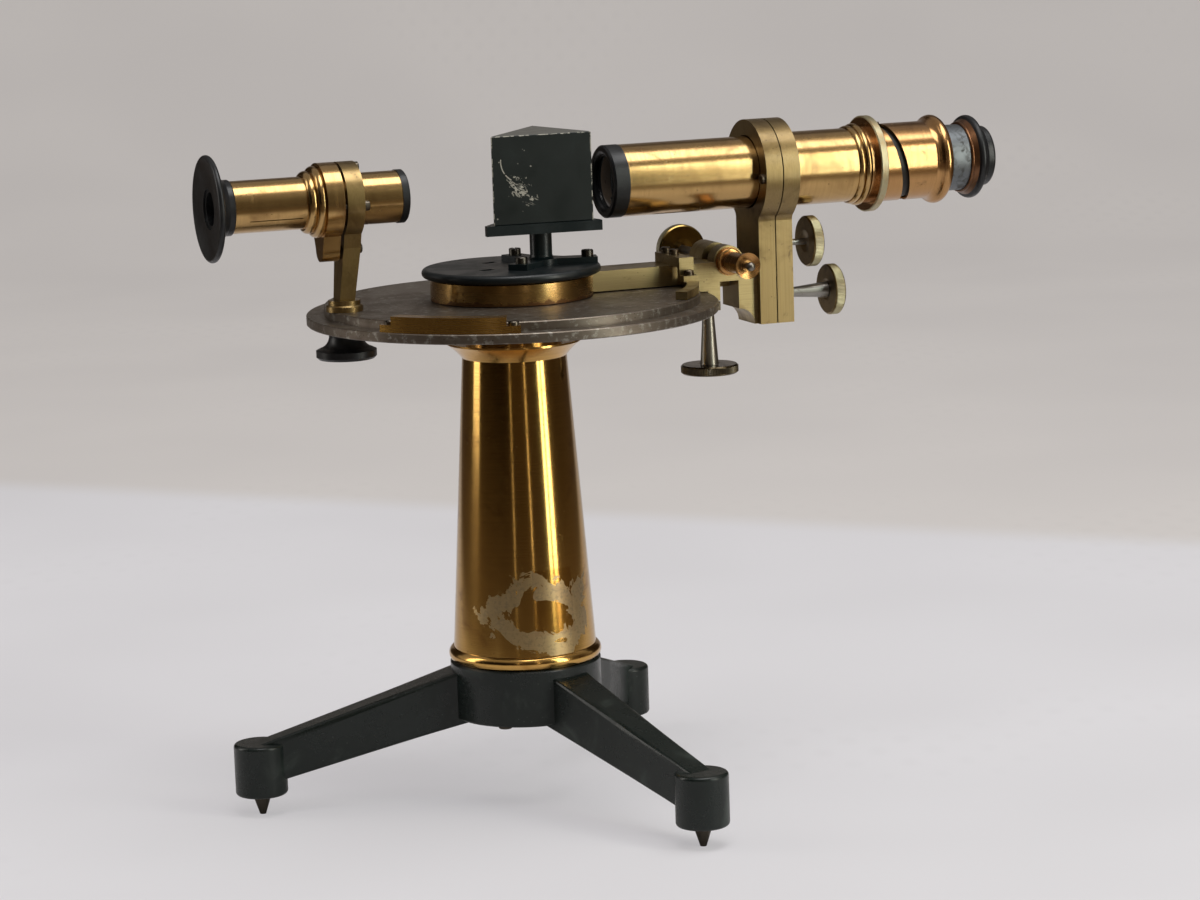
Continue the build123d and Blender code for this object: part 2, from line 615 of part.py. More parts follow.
def viewer_tube():
    tube = bar(ALONG_X, viewer_centre, VIEWER_LEFT_END, VIEWER_RIGHT_END - 1, VIEWER_RADIUS, viewer_bore)
    half = SAW_CUT_WIDTH / 2
    run = (VIEWER_LEFT_END + SAW_CUT_START, VIEWER_LEFT_END + SAW_CUT_END)
    saw_cut = Rot(-60, 0, 0) * block(run, (-half, half), (viewer_bore - 2, VIEWER_RADIUS + 2))
    return tube - Pos(0, 0, tube_height) * Rot(180, 0, 0) * saw_cut


def viewer_screws():
    screws = [cheese_screw(place, ALONG_X, length=viewer_screw_length, **VIEWER_SCREW) for place in viewer_screw_places]
    screws.append(cheese_screw(lobe_screw_place, ALONG_X, length=lobe_screw_length, **VIEWER_SCREW))
    return Compound(screws)


def viewer_cap():
    outer = VIEWER_RADIUS + VIEWER_CAP_STANDOUT
    left = VIEWER_RIGHT_END - VIEWER_CAP_LENGTH
    return turned(ALONG_X, viewer_centre, (left, VIEWER_RADIUS), (left, outer), (VIEWER_RIGHT_END - 0.5, outer),
                  (VIEWER_RIGHT_END, outer - 0.5), (VIEWER_RIGHT_END, viewer_bore - 1.4),
                  (VIEWER_RIGHT_END - 1, viewer_bore - 1.4), (VIEWER_RIGHT_END - 1, VIEWER_RADIUS))


def viewer_lens():
    right = VIEWER_RIGHT_END - 1
    return turned(ALONG_X, viewer_centre, (right, 0), (right, viewer_bore), (right - 2, viewer_bore),
                  lens_face(right - 2, viewer_bore, -1.2))


def eyecup():
    """The turned eyecup: a trumpet with a rounded rim, a dished front and a sight hole."""
    neck = VIEWER_LEFT_END
    front = neck - EYECUP_LENGTH
    round_edge = EYECUP_RIM_THICKNESS / 2
    rim = EYECUP_RADIUS - round_edge
    dish = front + EYECUP_DISH
    seat = dish + EYECUP_SEAT_DEPTH
    socket = neck - EYECUP_SOCKET
    return turned(ALONG_X, viewer_centre, (neck, viewer_bore - 1), (neck, EYECUP_NECK_RADIUS - 0.3),
                  (neck - 0.5, EYECUP_NECK_RADIUS), (neck - 2.4, EYECUP_NECK_RADIUS),
                  ((neck - 5.2, EYECUP_NECK_RADIUS + 2.3), (front + EYECUP_RIM_THICKNESS, rim)),
                  ((front + round_edge, EYECUP_RADIUS), (front, rim)),
                  ((front + 0.8 * EYECUP_DISH, 0.7 * rim), (dish, EYECUP_SEAT_RADIUS)),
                  (seat, EYECUP_SEAT_RADIUS), (seat, EYECUP_HOLE_RADIUS), (socket, EYECUP_HOLE_RADIUS),
                  (socket, viewer_bore - 1))


def viewer_drawtube():
    outer = viewer_bore - RUNNING
    left = VIEWER_LEFT_END - EYECUP_SOCKET
    tube = bar(ALONG_X, viewer_centre, left, left + DRAWTUBE_LENGTH, outer, outer - DRAWTUBE_WALL)
    return tube - bar(ALONG_X, viewer_centre, left - 0.1, VIEWER_LEFT_END, viewer_bore + 1, viewer_bore - 1)


def eyepiece_lens():
    outer = viewer_bore - RUNNING - DRAWTUBE_WALL
    left = VIEWER_LEFT_END - 2.0
    return turned(ALONG_X, viewer_centre, (left, 0), (left, outer - 0.6), (left + 2, outer - 0.6), (left + 2, outer),
                  (left + 3.2, outer), lens_face(left + 3.2, outer, 1.2))


# Arm

tangent_centre = (TANGENT_X, 0, tangent_height)
arm_end = CARRIER_X
leg_left = arm_end - ARM_LEG_THICKNESS
leg_low = arm_bottom - ARM_LEG_DROP
BRACKET_SCREW = dict(head_radius=2.1, head_height=2.2, shank_radius=1.2)
bracket_top = arm_top + BRACKET_THICKNESS
bracket_middle = BRACKET_X + BRACKET_WIDTH / 2
bracket_screw_places = [(bracket_middle, side * BRACKET_SCREW_HALF_SPACING, bracket_top) for side in (-1, 1)]
bracket_screw_length = BRACKET_THICKNESS + BRACKET_SCREW_GRIP
bracket_run = (BRACKET_X, BRACKET_X + BRACKET_WIDTH)
vernier_top = circle_top + FREE + ARM_VERNIER_HEIGHT
step_top = vernier_top + BRACKET_STEP_THICKNESS
tab_screw_length = BRACKET_STEP_THICKNESS + ARM_VERNIER_HEIGHT - 0.8
bracket_front = -ARM_HALF_WIDTH - BRACKET_LIP
tab_screw_place = (bracket_middle, bracket_front - BRACKET_STEP / 2, step_top)


def arm_hub():
    """The brass drum that turns on the axle and carries the arm."""
    return turned(ALONG_Z, (0, 0, 0), (drum_bottom, AXLE_RADIUS + RUNNING), (drum_bottom, DRUM_RADIUS),
                  (drum_top - 0.4, DRUM_RADIUS), (drum_top, DRUM_RADIUS - 0.4),
                  (drum_top, TABLE_SLEEVE_RADIUS + FREE), (drum_bottom + 1.6, TABLE_SLEEVE_RADIUS + FREE),
                  (drum_bottom + 1.6, AXLE_RADIUS + RUNNING))


def arm_bar():
    """The bar with its down-turned end, the two screw bosses and the slot for the clamp tongue."""
    cove = ARM_COVE
    turn = cove * math.sqrt(0.5)
    side = outline((DRUM_RADIUS - 6, arm_bottom), (leg_left, arm_bottom), (leg_left, leg_low + cove),
                   ((leg_left + turn, leg_low + turn), (leg_left + cove, leg_low)),
                   (arm_end, leg_low), (arm_end, arm_top), (DRUM_RADIUS - 6, arm_top))
    plane = Plane(origin=(0, ARM_HALF_WIDTH, 0), x_dir=(1, 0, 0), z_dir=(0, -1, 0))
    piece = extrude(plane * side, 2 * ARM_HALF_WIDTH)
    piece -= bar(ALONG_Z, (0, 0, 0), arm_bottom - 1, arm_top + 1, DRUM_RADIUS)
    piece += bar(ALONG_Y, tangent_centre, -ARM_HALF_WIDTH, TANGENT_FAR_END, TANGENT_BOSS_RADIUS)
    piece -= block((TANGENT_X - TONGUE_LENGTH / 2 - 1, TANGENT_X + TONGUE_LENGTH / 2 + 0.4),
                   (TONGUE_GAP_NEAR, TONGUE_GAP_FAR), (arm_bottom - 1, arm_top + TANGENT_BOSS_RADIUS + 1))
    piece -= block((TANGENT_X - TANGENT_BOSS_RADIUS - 1, TANGENT_X + TANGENT_BOSS_RADIUS + 1),
                   (TONGUE_GAP_NEAR, TONGUE_GAP_FAR), (arm_top, arm_top + TANGENT_BOSS_RADIUS + 1))
    piece -= bar(ALONG_Y, tangent_centre, TONGUE_GAP_FAR - 1, TANGENT_FAR_END + 1, TANGENT_SCREW_RADIUS + RUNNING)
    piece -= bar(ALONG_Y, tangent_centre, -ARM_HALF_WIDTH - 1, TONGUE_GAP_NEAR + 1, PLUNGER_RADIUS + RUNNING)
    piece -= bar(ALONG_Y, tangent_centre, -ARM_HALF_WIDTH - 1, TONGUE_GAP_NEAR - 2.5, BARREL_BORE_RADIUS)
    for place in bracket_screw_places:
        piece -= screw_hole(place, ALONG_Z, BRACKET_SCREW["shank_radius"], bracket_screw_length)
    return piece


def arm_vernier():
    """The bracket over the arm and the reading arc that it holds just above the circle."""
    over = block(bracket_run, (bracket_front, ARM_HALF_WIDTH), (arm_top, bracket_top))
    wall = bracket_front + BRACKET_WALL
    drop = block(bracket_run, (bracket_front, wall), (vernier_top, bracket_top))
    step = block(bracket_run, (bracket_front - BRACKET_STEP, wall), (vernier_top, step_top))
    rim = CIRCLE_RADIUS - DISC_EDGE
    arc = ring_sector(rim - ARM_VERNIER_WIDTH, rim, circle_top + FREE, vernier_top, ARM_VERNIER_START,
                      ARM_VERNIER_END)
    piece = over + drop + step + arc
    for place in bracket_screw_places:
        piece -= screw_hole(place, ALONG_Z, BRACKET_SCREW["shank_radius"], bracket_screw_length)
    return piece - screw_hole(tab_screw_place, ALONG_Z, BRACKET_SCREW["shank_radius"], tab_screw_length)


def arm_vernier_screws():
    screws = [cheese_screw(place, ALONG_Z, length=bracket_screw_length, **BRACKET_SCREW)
              for place in bracket_screw_places]
    screws.append(cheese_screw(tab_screw_place, ALONG_Z, length=tab_screw_length, **BRACKET_SCREW))
    return Compound(screws)


barrel_end = -ARM_HALF_WIDTH - BARREL_LENGTH
cap_end = barrel_end - BARREL_CAP_LENGTH
collar_face = TONGUE_GAP_NEAR - 4.8
spring_high = collar_face - 1.4 - TANGENT_TRAVEL - 0.1
spring_low = barrel_end + 0.1


def spring_barrel():
    root = -ARM_HALF_WIDTH
    barrel = turned(ALONG_Y, tangent_centre, (root, BARREL_BORE_RADIUS), (root, TANGENT_BOSS_RADIUS - 0.6),
                    (root - 0.9, TANGENT_BOSS_RADIUS - 0.6), (root - 0.9, BARREL_RADIUS + 1.1),
                    ((root - 1.5, BARREL_RADIUS + 1.3), (root - 2.2, BARREL_RADIUS + 0.7)),
                    (root - 2.4, BARREL_RADIUS), (barrel_end, BARREL_RADIUS - 0.2), (barrel_end, BARREL_BORE_RADIUS))
    cap = turned(ALONG_Y, tangent_centre, (barrel_end, PLUNGER_RADIUS + RUNNING), (barrel_end, BARREL_CAP_RADIUS - 0.4),
                 (barrel_end - 0.4, BARREL_CAP_RADIUS), (cap_end, BARREL_CAP_RADIUS),
                 (cap_end + 0.9, PLUNGER_RADIUS + 1), (cap_end + 0.9, PLUNGER_RADIUS + RUNNING))
    return Compound([barrel, cap])


def plunger_spring():
    """The coil spring between the plunger's collar and the barrel cap, at its shortest length."""
    mean = (PLUNGER_RADIUS + BARREL_BORE_RADIUS) / 2
    length = spring_high - spring_low - 2 * SPRING_WIRE_RADIUS
    path = Helix(pitch=length / SPRING_TURNS, height=length, radius=mean)
    section = Plane(origin=path @ 0, z_dir=path % 0) * Circle(SPRING_WIRE_RADIUS)
    coil = sweep(section, path=path, is_frenet=True)
    return Pos(TANGENT_X, spring_low + SPRING_WIRE_RADIUS, tangent_height) * Rot(-90, 0, 0) * coil


def plunger():
    ball = cap_end - 0.6 - PLUNGER_BALL_RADIUS
    rod = turned(ALONG_Y, tangent_centre, (tongue_near - TONGUE_CONTACT, 0), (tongue_near - TONGUE_CONTACT, PLUNGER_RADIUS - 0.4),
                 (tongue_near - 0.6, PLUNGER_RADIUS), (collar_face, PLUNGER_RADIUS), (collar_face, PLUNGER_COLLAR_RADIUS),
                 (collar_face - 1.4, PLUNGER_COLLAR_RADIUS), (collar_face - 1.4, PLUNGER_RADIUS), (ball, PLUNGER_RADIUS), (ball, 0))
    return rod + Pos(TANGENT_X, ball, tangent_height) * Sphere(PLUNGER_BALL_RADIUS)


def tangent_pad():
    """The pressure pad between the end of the screw and the tongue, which does not turn."""
    start = tongue_far + TONGUE_CONTACT
    return bar(ALONG_Y, tangent_centre, start, start + PAD_LENGTH, TANGENT_SCREW_RADIUS)


def tangent_screw():
    start = tongue_far + TONGUE_CONTACT + PAD_LENGTH
    return bar(ALONG_Y, tangent_centre, start, TANGENT_KNOB_FACE + KNOB_THICKNESS - 0.5, TANGENT_SCREW_RADIUS)


def tangent_knob():
    return disc_knob(ALONG_Y, tangent_centre, TANGENT_KNOB_FACE, KNOB_RADIUS, KNOB_THICKNESS, TANGENT_SCREW_RADIUS)


# Clamp on the rim

clamp_low = limb_bottom
clamp_top = arm_bottom - FREE
jaw_top = limb_bottom - FREE - 0.1
jaw_low = jaw_top - JAW_THICKNESS
clamp_screw_centre = (CLAMP_SCREW_X, 0, 0)


def clamp_block():
    """The clamp body astride the rim, with the tongue that stands up between the bosses."""
    piece = block((CIRCLE_RADIUS - 4, CLAMP_OUTER_X), (-CLAMP_HALF_WIDTH, CLAMP_HALF_WIDTH), (clamp_low, clamp_top))
    piece -= bar(ALONG_Z, (0, 0, 0), clamp_low - 1, limb_top + FREE, LIMB_RADIUS + FREE)
    piece -= bar(ALONG_Z, (0, 0, 0), clamp_low - 1, clamp_top + 1, CIRCLE_RADIUS + FREE)
    tongue_end = TANGENT_X + TONGUE_LENGTH / 2
    tongue = block((TANGENT_X - TONGUE_LENGTH / 2, tongue_end), (tongue_near, tongue_far),
                   (clamp_top - TONGUE_ROOT, tangent_height + TONGUE_TOP))
    tongue += block((CLAMP_SCREW_X, tongue_end), (tongue_near, tongue_far), (clamp_top - TONGUE_ROOT, clamp_top))
    tap = bar(ALONG_Z, clamp_screw_centre, clamp_low - 1, clamp_top - 2.4, CLAMP_SCREW_RADIUS + RUNNING)
    return piece + tongue - tap


def clamp_jaw():
    piece = block((JAW_INNER_X, CLAMP_OUTER_X), (-CLAMP_HALF_WIDTH, CLAMP_HALF_WIDTH), (jaw_low, jaw_top))
    return piece - bar(ALONG_Z, clamp_screw_centre, jaw_low - 1, jaw_top + 1, CLAMP_SCREW_RADIUS + RUNNING)


stem_low = jaw_low - CLAMP_STEM_LENGTH


def clamp_stem():
    knob_top = stem_low
    return turned(ALONG_Z, clamp_screw_centre, (knob_top - CLAMP_KNOB_THICKNESS + 0.6, 0),
                  (knob_top - CLAMP_KNOB_THICKNESS + 0.6, 2.0), (knob_top, 2.0), (knob_top, CLAMP_STEM_ROOT_RADIUS),
                  (jaw_low - 0.9, CLAMP_STEM_TOP_RADIUS), (jaw_low, CLAMP_STEM_TOP_RADIUS), (jaw_low, CLAMP_SCREW_RADIUS),
                  (clamp_top - 4.0, CLAMP_SCREW_RADIUS), (clamp_top - 4.0, 0))


def clamp_knob():
    return disc_knob(-ALONG_Z, clamp_screw_centre, -stem_low, CLAMP_KNOB_RADIUS, CLAMP_KNOB_THICKNESS, 2.0)


# Telescope carrier

scope_centre = (0, 0, tube_height)


def carrier_outline(bore):
    """The ring and the block under it, seen along the telescope."""
    ring = Pos(0, tube_height) * Circle(CARRIER_RING_RADIUS)
    half = CARRIER_HALF_WIDTH
    body = outline((-half, carrier_base), (half, carrier_base), (half, tube_height), (-half, tube_height))
    shape = ring + body
    junction = tube_height - math.sqrt(CARRIER_RING_RADIUS ** 2 - half ** 2)
    corners = [v for v in shape.vertices() if abs(v.Y - junction) < 0.01 and abs(abs(v.X) - half) < 0.01]
    return fillet(corners, CARRIER_FILLET) - Pos(0, tube_height) * Circle(bore)


def carrier_section(x):
    return Plane(origin=(x, 0, 0), x_dir=(0, 1, 0), z_dir=(1, 0, 0))


adjusters = {"upper": (0, 0, upper_screw_height), "lower": (0, 0, lower_screw_height)}
GUARD_SCREW = dict(head_radius=2.1, head_height=1.6, shank_radius=1.1)
guard_screw_radius = (CARRIER_RING_RADIUS + SCOPE_RADIUS + GUARD_ROOM) / 2
guard_screw_place = (CARRIER_X, -guard_screw_radius, tube_height - 1.6)


def guard_carrier():
    """The fixed half: it stands on the arm, rings the tube with a gap, and has the rocking rib."""
    piece = extrude(carrier_section(CARRIER_X) * carrier_outline(SCOPE_RADIUS + GUARD_ROOM), CARRIER_THICKNESS)
    piece += bar(ALONG_Y, (carrier_right, 0, tilt_axis_height), 1 - CARRIER_HALF_WIDTH, CARRIER_HALF_WIDTH - 1, TILT_RIB_RADIUS)
    for centre in adjusters.values():
        piece -= bar(ALONG_X, centre, CARRIER_X + 1, carrier_right + 1, ADJUST_SHANK_RADIUS + FREE)
    return piece - screw_hole(guard_screw_place, -ALONG_X, GUARD_SCREW["shank_radius"], 4.0)


def guard_screw():
    return cheese_screw(guard_screw_place, -ALONG_X, length=4.0, **GUARD_SCREW)


def tilt_carrier():
    """The rocking half, which holds the telescope."""
    piece = extrude(carrier_section(tilt_left) * carrier_outline(SCOPE_RADIUS), CARRIER_THICKNESS)
    piece -= bar(ALONG_Y, (carrier_right, 0, tilt_axis_height), FREE - CARRIER_HALF_WIDTH, CARRIER_HALF_WIDTH - FREE,
                 TILT_RIB_RADIUS + RUNNING)
    for centre in adjusters.values():
        piece -= bar(ALONG_X, centre, tilt_left - 1, tilt_right + 1, ADJUST_SHANK_RADIUS + RUNNING)
    return piece


def adjusting_screw(centre, stem_radius, root_radius, face):
    """A stem that widens towards its knob, with a thin shank through both halves."""
    return turned(ALONG_X, centre, (tilt_right - ADJUST_SHANK_DEPTH, 0), (tilt_right - ADJUST_SHANK_DEPTH, ADJUST_SHANK_RADIUS),
                  (tilt_right, ADJUST_SHANK_RADIUS), (tilt_right, stem_radius), (face, root_radius),
                  (face, ADJUST_SHANK_RADIUS), (face + KNOB_THICKNESS - 0.6, ADJUST_SHANK_RADIUS), (face + KNOB_THICKNESS - 0.6, 0))


def upper_screw():
    return adjusting_screw(adjusters["upper"], UPPER_SCREW_RADIUS, UPPER_SCREW_RADIUS, UPPER_KNOB_FACE)


def upper_knob():
    return disc_knob(ALONG_X, adjusters["upper"], UPPER_KNOB_FACE, KNOB_RADIUS, KNOB_THICKNESS, ADJUST_SHANK_RADIUS)


def lower_screw():
    return adjusting_screw(adjusters["lower"], LOWER_SCREW_RADIUS, LOWER_SCREW_ROOT_RADIUS, LOWER_KNOB_FACE)


def lower_knob():
    return disc_knob(ALONG_X, adjusters["lower"], LOWER_KNOB_FACE, KNOB_RADIUS, KNOB_THICKNESS, ADJUST_SHANK_RADIUS)


# Telescope

cell_end = SCOPE_LEFT_END + CELL_LENGTH
tube_left = SCOPE_LEFT_END + 2.2


def telescope_tube():
    return bar(ALONG_X, scope_centre, tube_left, tilt_right, SCOPE_RADIUS - 0.4, scope_bore) + bar(
        ALONG_X, scope_centre, cell_end, tilt_right, SCOPE_RADIUS, scope_bore)


def objective_cell():
    outer = SCOPE_RADIUS + CELL_STANDOUT
    return turned(ALONG_X, scope_centre, (SCOPE_LEFT_END + 0.6, CELL_LIP_RADIUS + 0.6), (SCOPE_LEFT_END, CELL_LIP_RADIUS + 1.6),
                  (SCOPE_LEFT_END, outer - 0.8), (SCOPE_LEFT_END + 0.8, outer), (cell_end, outer),
                  (cell_end, SCOPE_RADIUS - 0.4), (tube_left, SCOPE_RADIUS - 0.4), (tube_left, CELL_LIP_RADIUS),
                  (SCOPE_LEFT_END + 1.4, CELL_LIP_RADIUS))


def objective_lens():
    left = tube_left
    clear = CELL_LIP_RADIUS - 0.2
    return turned(ALONG_X, scope_centre, (left + 3.4, 0), (left + 3.4, scope_bore), (left, scope_bore), (left, clear),
                  lens_face(left, clear, -1.0))


def focus_guide():
    """The fixed body behind the carrier: a plain stretch, two beads and the seat of the guide tube."""
    left = tilt_right
    bead = BODY_RIGHT_END
    run = BEAD_RUN / 2
    outer = BODY_RADIUS
    throat = guide_bore - 1.6
    return turned(ALONG_X, scope_centre, (left - 8, throat), (left - 8, scope_bore), (left, scope_bore),
                  (left, outer - 0.3), (left + 0.3, outer), (bead, outer), (bead, outer + 0.4),
                  ((bead + run / 2, outer + 1.0), (bead + run, outer + 0.6)), (bead + run, outer + 1.0),
                  ((bead + 1.5 * run, outer + 1.8), (body_end, outer + 1.2)), (body_end, guide_spigot),
                  (bead, guide_spigot), (bead, throat))


def guide_tube():
    """The fixed inner tube that the sleeve turns on, with a straight slot for the guide pin."""
    left_land = body_end + GUIDE_LEFT_LAND
    right_land = GUIDE_RIGHT_END - GUIDE_RIGHT_LAND
    piece = turned(ALONG_X, scope_centre, (BODY_RIGHT_END, guide_bore), (BODY_RIGHT_END, guide_spigot),
                   (body_end, guide_spigot), (body_end, GUIDE_RADIUS), (left_land, GUIDE_RADIUS),
                   (left_land, guide_spigot), (right_land, guide_spigot), (right_land, GUIDE_RADIUS),
                   (GUIDE_RIGHT_END, GUIDE_RADIUS), (GUIDE_RIGHT_END, guide_bore))
    travel = SLOT_PITCH * FOCUS_TURN / 360
    half = SLOT_WIDTH / 2
    slot_run = (PIN_X - half - FREE, PIN_X + travel + half + FREE)
    return piece - block(slot_run, (-half, half), (tube_height, tube_height + SLEEVE_RADIUS))


def slot_cutter():
    """A cutter that follows the focusing slot as a true helix round the sleeve."""
    span = SLOT_END_ANGLE - SLOT_START_ANGLE
    path = Helix(pitch=SLOT_PITCH, height=SLOT_PITCH * span / 360, radius=SLEEVE_RADIUS)
    section = Plane(origin=path @ 0, x_dir=(1, 0, 0), z_dir=path % 0) * Rectangle(8, SLOT_WIDTH)
    cutter = sweep(section, path=path, is_frenet=True)
    start = Pos(PIN_X + SLOT_PITCH * SLOT_START_ANGLE / 360, 0, tube_height)
    return start * Rot(0, 90, 0) * Rot(0, 0, 180 + SLOT_START_ANGLE) * cutter


def focus_sleeve():
    """The turning focus sleeve: a grip flange, the barrel with its helical slot, and a rolled lip."""
    left = sleeve_left
    grip = left + GRIP_SETBACK
    grip_end = grip + GRIP_THICKNESS
    lip = SLEEVE_RIGHT_END
    bore = GUIDE_RADIUS + RUNNING
    piece = turned(ALONG_X, scope_centre, (left, bore), (left, SLEEVE_RADIUS), (grip, SLEEVE_RADIUS),
                   (grip, GRIP_RADIUS - 0.4), (grip + 0.4, GRIP_RADIUS), (grip_end - 0.4, GRIP_RADIUS),
                   (grip_end, GRIP_RADIUS - 0.4), (grip_end, SLEEVE_RADIUS),
                   (lip - 0.5, SLEEVE_RADIUS), ((lip + 1.6, SLEEVE_RADIUS + 0.8), (lip + 2.6, LIP_RADIUS - 0.6)),
                   ((lip + 4.0, LIP_RADIUS), (lip + LIP_LENGTH, LIP_RADIUS - 1.8)),
                   (lip + LIP_LENGTH, draw_radius + FREE), (lip, draw_radius + FREE), (lip, bore))
    return piece - slot_cutter()


def drawtube():
    """The sliding inner tube of grey metal that the guide pin is screwed into."""
    piece = bar(ALONG_X, scope_centre, DRAW_LEFT_END, COLLAR_END, draw_radius, draw_bore)
    return piece - bar(ALONG_Z, (PIN_X, 0, tube_height), draw_bore - 2, draw_radius + 1, PIN_RADIUS + SCREW_ROOM)


def draw_collar():
    return turned(ALONG_X, scope_centre, (COLLAR_END, draw_bore), (COLLAR_END, draw_radius + 0.4),
                  ((COLLAR_END + 0.6, draw_radius + 1.1), (COLLAR_END + 1.2, draw_radius + 0.9)),
                  (EYE_RING_START, COLLAR_RING_RADIUS), (EYE_RING_START, draw_bore))


def eye_ring():
    left = EYE_RING_START
    right = EYE_RING_END
    outer = EYE_RING_RADIUS
    return turned(ALONG_X, scope_centre, (left, draw_bore), (left, COLLAR_RING_RADIUS), (left + 0.4, outer - 0.5),
                  ((left + 1.6, outer), (left + 2.8, outer - 0.3)), (right - 1.0, EYE_DISC_RADIUS + 1.6),
                  (right, EYE_DISC_RADIUS + 0.6), (right, draw_bore - 3), (left + 3, draw_bore - 3), (left + 3, draw_bore))


def eye_disc():
    left = EYE_RING_END
    right = EYE_DISC_END
    return turned(ALONG_X, scope_centre, (left, EYE_HOLE_RADIUS), (left, EYE_DISC_RADIUS), (right - 1.2, EYE_DISC_RADIUS),
                  ((right - 0.35, EYE_DISC_RADIUS - 0.35), (right, EYE_DISC_RADIUS - 1.2)),
                  (right, EYE_HOLE_RADIUS + 3), (right - 1.2, EYE_HOLE_RADIUS))


def guide_pin():
    top = SLEEVE_RADIUS + PIN_STANDOUT
    return Pos(PIN_X, 0, tube_height) * (bar(ALONG_Z, (0, 0, 0), draw_bore, top, PIN_RADIUS)
                                         - Pos(0, 0, top) * Box(4, 0.5, 1.0))


# Object table

holder = Pos(HOLDER_X, HOLDER_Y, 0)
spider_angles = [SPIDER_FIRST_ARM + 120 * i for i in range(3)]
SPIDER_SCREW = dict(head_radius=2.5, head_height=2.7, shank_radius=1.2)
spider_screw_length = SPIDER_THICKNESS + TABLE_THICKNESS - 0.7
spider_screw_places = [
    tuple((holder * Pos(*polar(SPIDER_ARM_LENGTH - SPIDER_SCREW_SETBACK, angle, spider_top))).position)
    for angle in spider_angles
]
table_turn = Rot(0, 0, TABLE_TURN)
mark_places = [(-5.5, 14.0), (-12.8, -10.4)]


def table_disc():
    """The black table: a disc with a full-round rim and a sleeve that runs on the axle."""
    middle = (table_bottom + table_top) / 2
    bulge = TABLE_THICKNESS / 2
    journal = AXLE_RADIUS + RUNNING
    disc = turned(ALONG_Z, (0, 0, 0), (table_top, 0), (table_top, TABLE_RADIUS - bulge),
                  ((middle, TABLE_RADIUS), (table_bottom, TABLE_RADIUS - bulge)),
                  (table_bottom, TABLE_SLEEVE_RADIUS), (drum_bottom + 1.6 + FREE, TABLE_SLEEVE_RADIUS),
                  (drum_bottom + 1.6 + FREE, journal), (table_top - TABLE_SKIN, journal), (table_top - TABLE_SKIN, 0))
    for x, y in mark_places:
        disc -= Pos(x, y, table_top) * Rot(0, 0, 22) * Box(TABLE_MARK_LENGTH, TABLE_MARK_WIDTH, 2 * TABLE_MARK_DEPTH)
    for place in spider_screw_places:
        disc -= screw_hole(place, ALONG_Z, SPIDER_SCREW["shank_radius"], spider_screw_length)
    return table_turn * disc


def spider():
    """Three flat arms and the flared post that carries the prism plate."""
    piece = Cylinder(SPIDER_HUB_RADIUS, SPIDER_THICKNESS, align=(Align.CENTER, Align.CENTER, Align.MIN))
    arm = block((0, SPIDER_ARM_LENGTH), (-SPIDER_ARM_WIDTH / 2, SPIDER_ARM_WIDTH / 2), (0, SPIDER_THICKNESS))
    for angle in spider_angles:
        piece += Rot(0, 0, angle) * arm
    top = SPIDER_THICKNESS + POST_HEIGHT
    piece += turned(ALONG_Z, (0, 0, 0), (0, 0), (0, POST_RADIUS + POST_FLARE), (SPIDER_THICKNESS, POST_RADIUS + POST_FLARE),
                    ((SPIDER_THICKNESS + 0.6, POST_RADIUS + 0.4), (SPIDER_THICKNESS + 2, POST_RADIUS)), (top, POST_RADIUS), (top, 0))
    piece = holder * Pos(0, 0, table_top) * piece
    for place in spider_screw_places:
        piece -= screw_hole(place, ALONG_Z, SPIDER_SCREW["shank_radius"], spider_screw_length)
    return table_turn * piece


def spider_screws():
    return table_turn * Compound([cheese_screw(place, ALONG_Z, length=spider_screw_length, turn=35 + 50 * i, **SPIDER_SCREW)
                                  for i, place in enumerate(spider_screw_places)])


def prism_plate():
    left = PRISM_LEFT - PRISM_PLATE_SIDE
    right = PRISM_RIGHT + PRISM_PLATE_SIDE
    front = PRISM_FRONT - PRISM_PLATE_FRONT
    back = PRISM_APEX_Y + PRISM_PLATE_BACK
    shape = outline((left, front), (right, front), (right, PRISM_FRONT + 2), (PRISM_APEX_X + PRISM_PLATE_SIDE, back),
                    (PRISM_APEX_X - PRISM_PLATE_SIDE, back), (left, PRISM_FRONT + 2))
    return table_turn * extrude(Pos(0, 0, post_top) * shape, PRISM_PLATE_THICKNESS)


def prism():
    shape = outline((PRISM_LEFT, PRISM_FRONT), (PRISM_RIGHT, PRISM_FRONT), (PRISM_APEX_X, PRISM_APEX_Y))
    solid = extrude(Pos(0, 0, prism_base) * shape, PRISM_HEIGHT)
    return table_turn * chamfer(solid.edges(), 0.35)


def save(name, shape):
    """Writes one node, as a compound of its solids where it has several."""
    if isinstance(shape, (list, ShapeList)):
        shape = Compound(list(shape))
    export_step(shape, os.path.join("parts", name + ".step"))


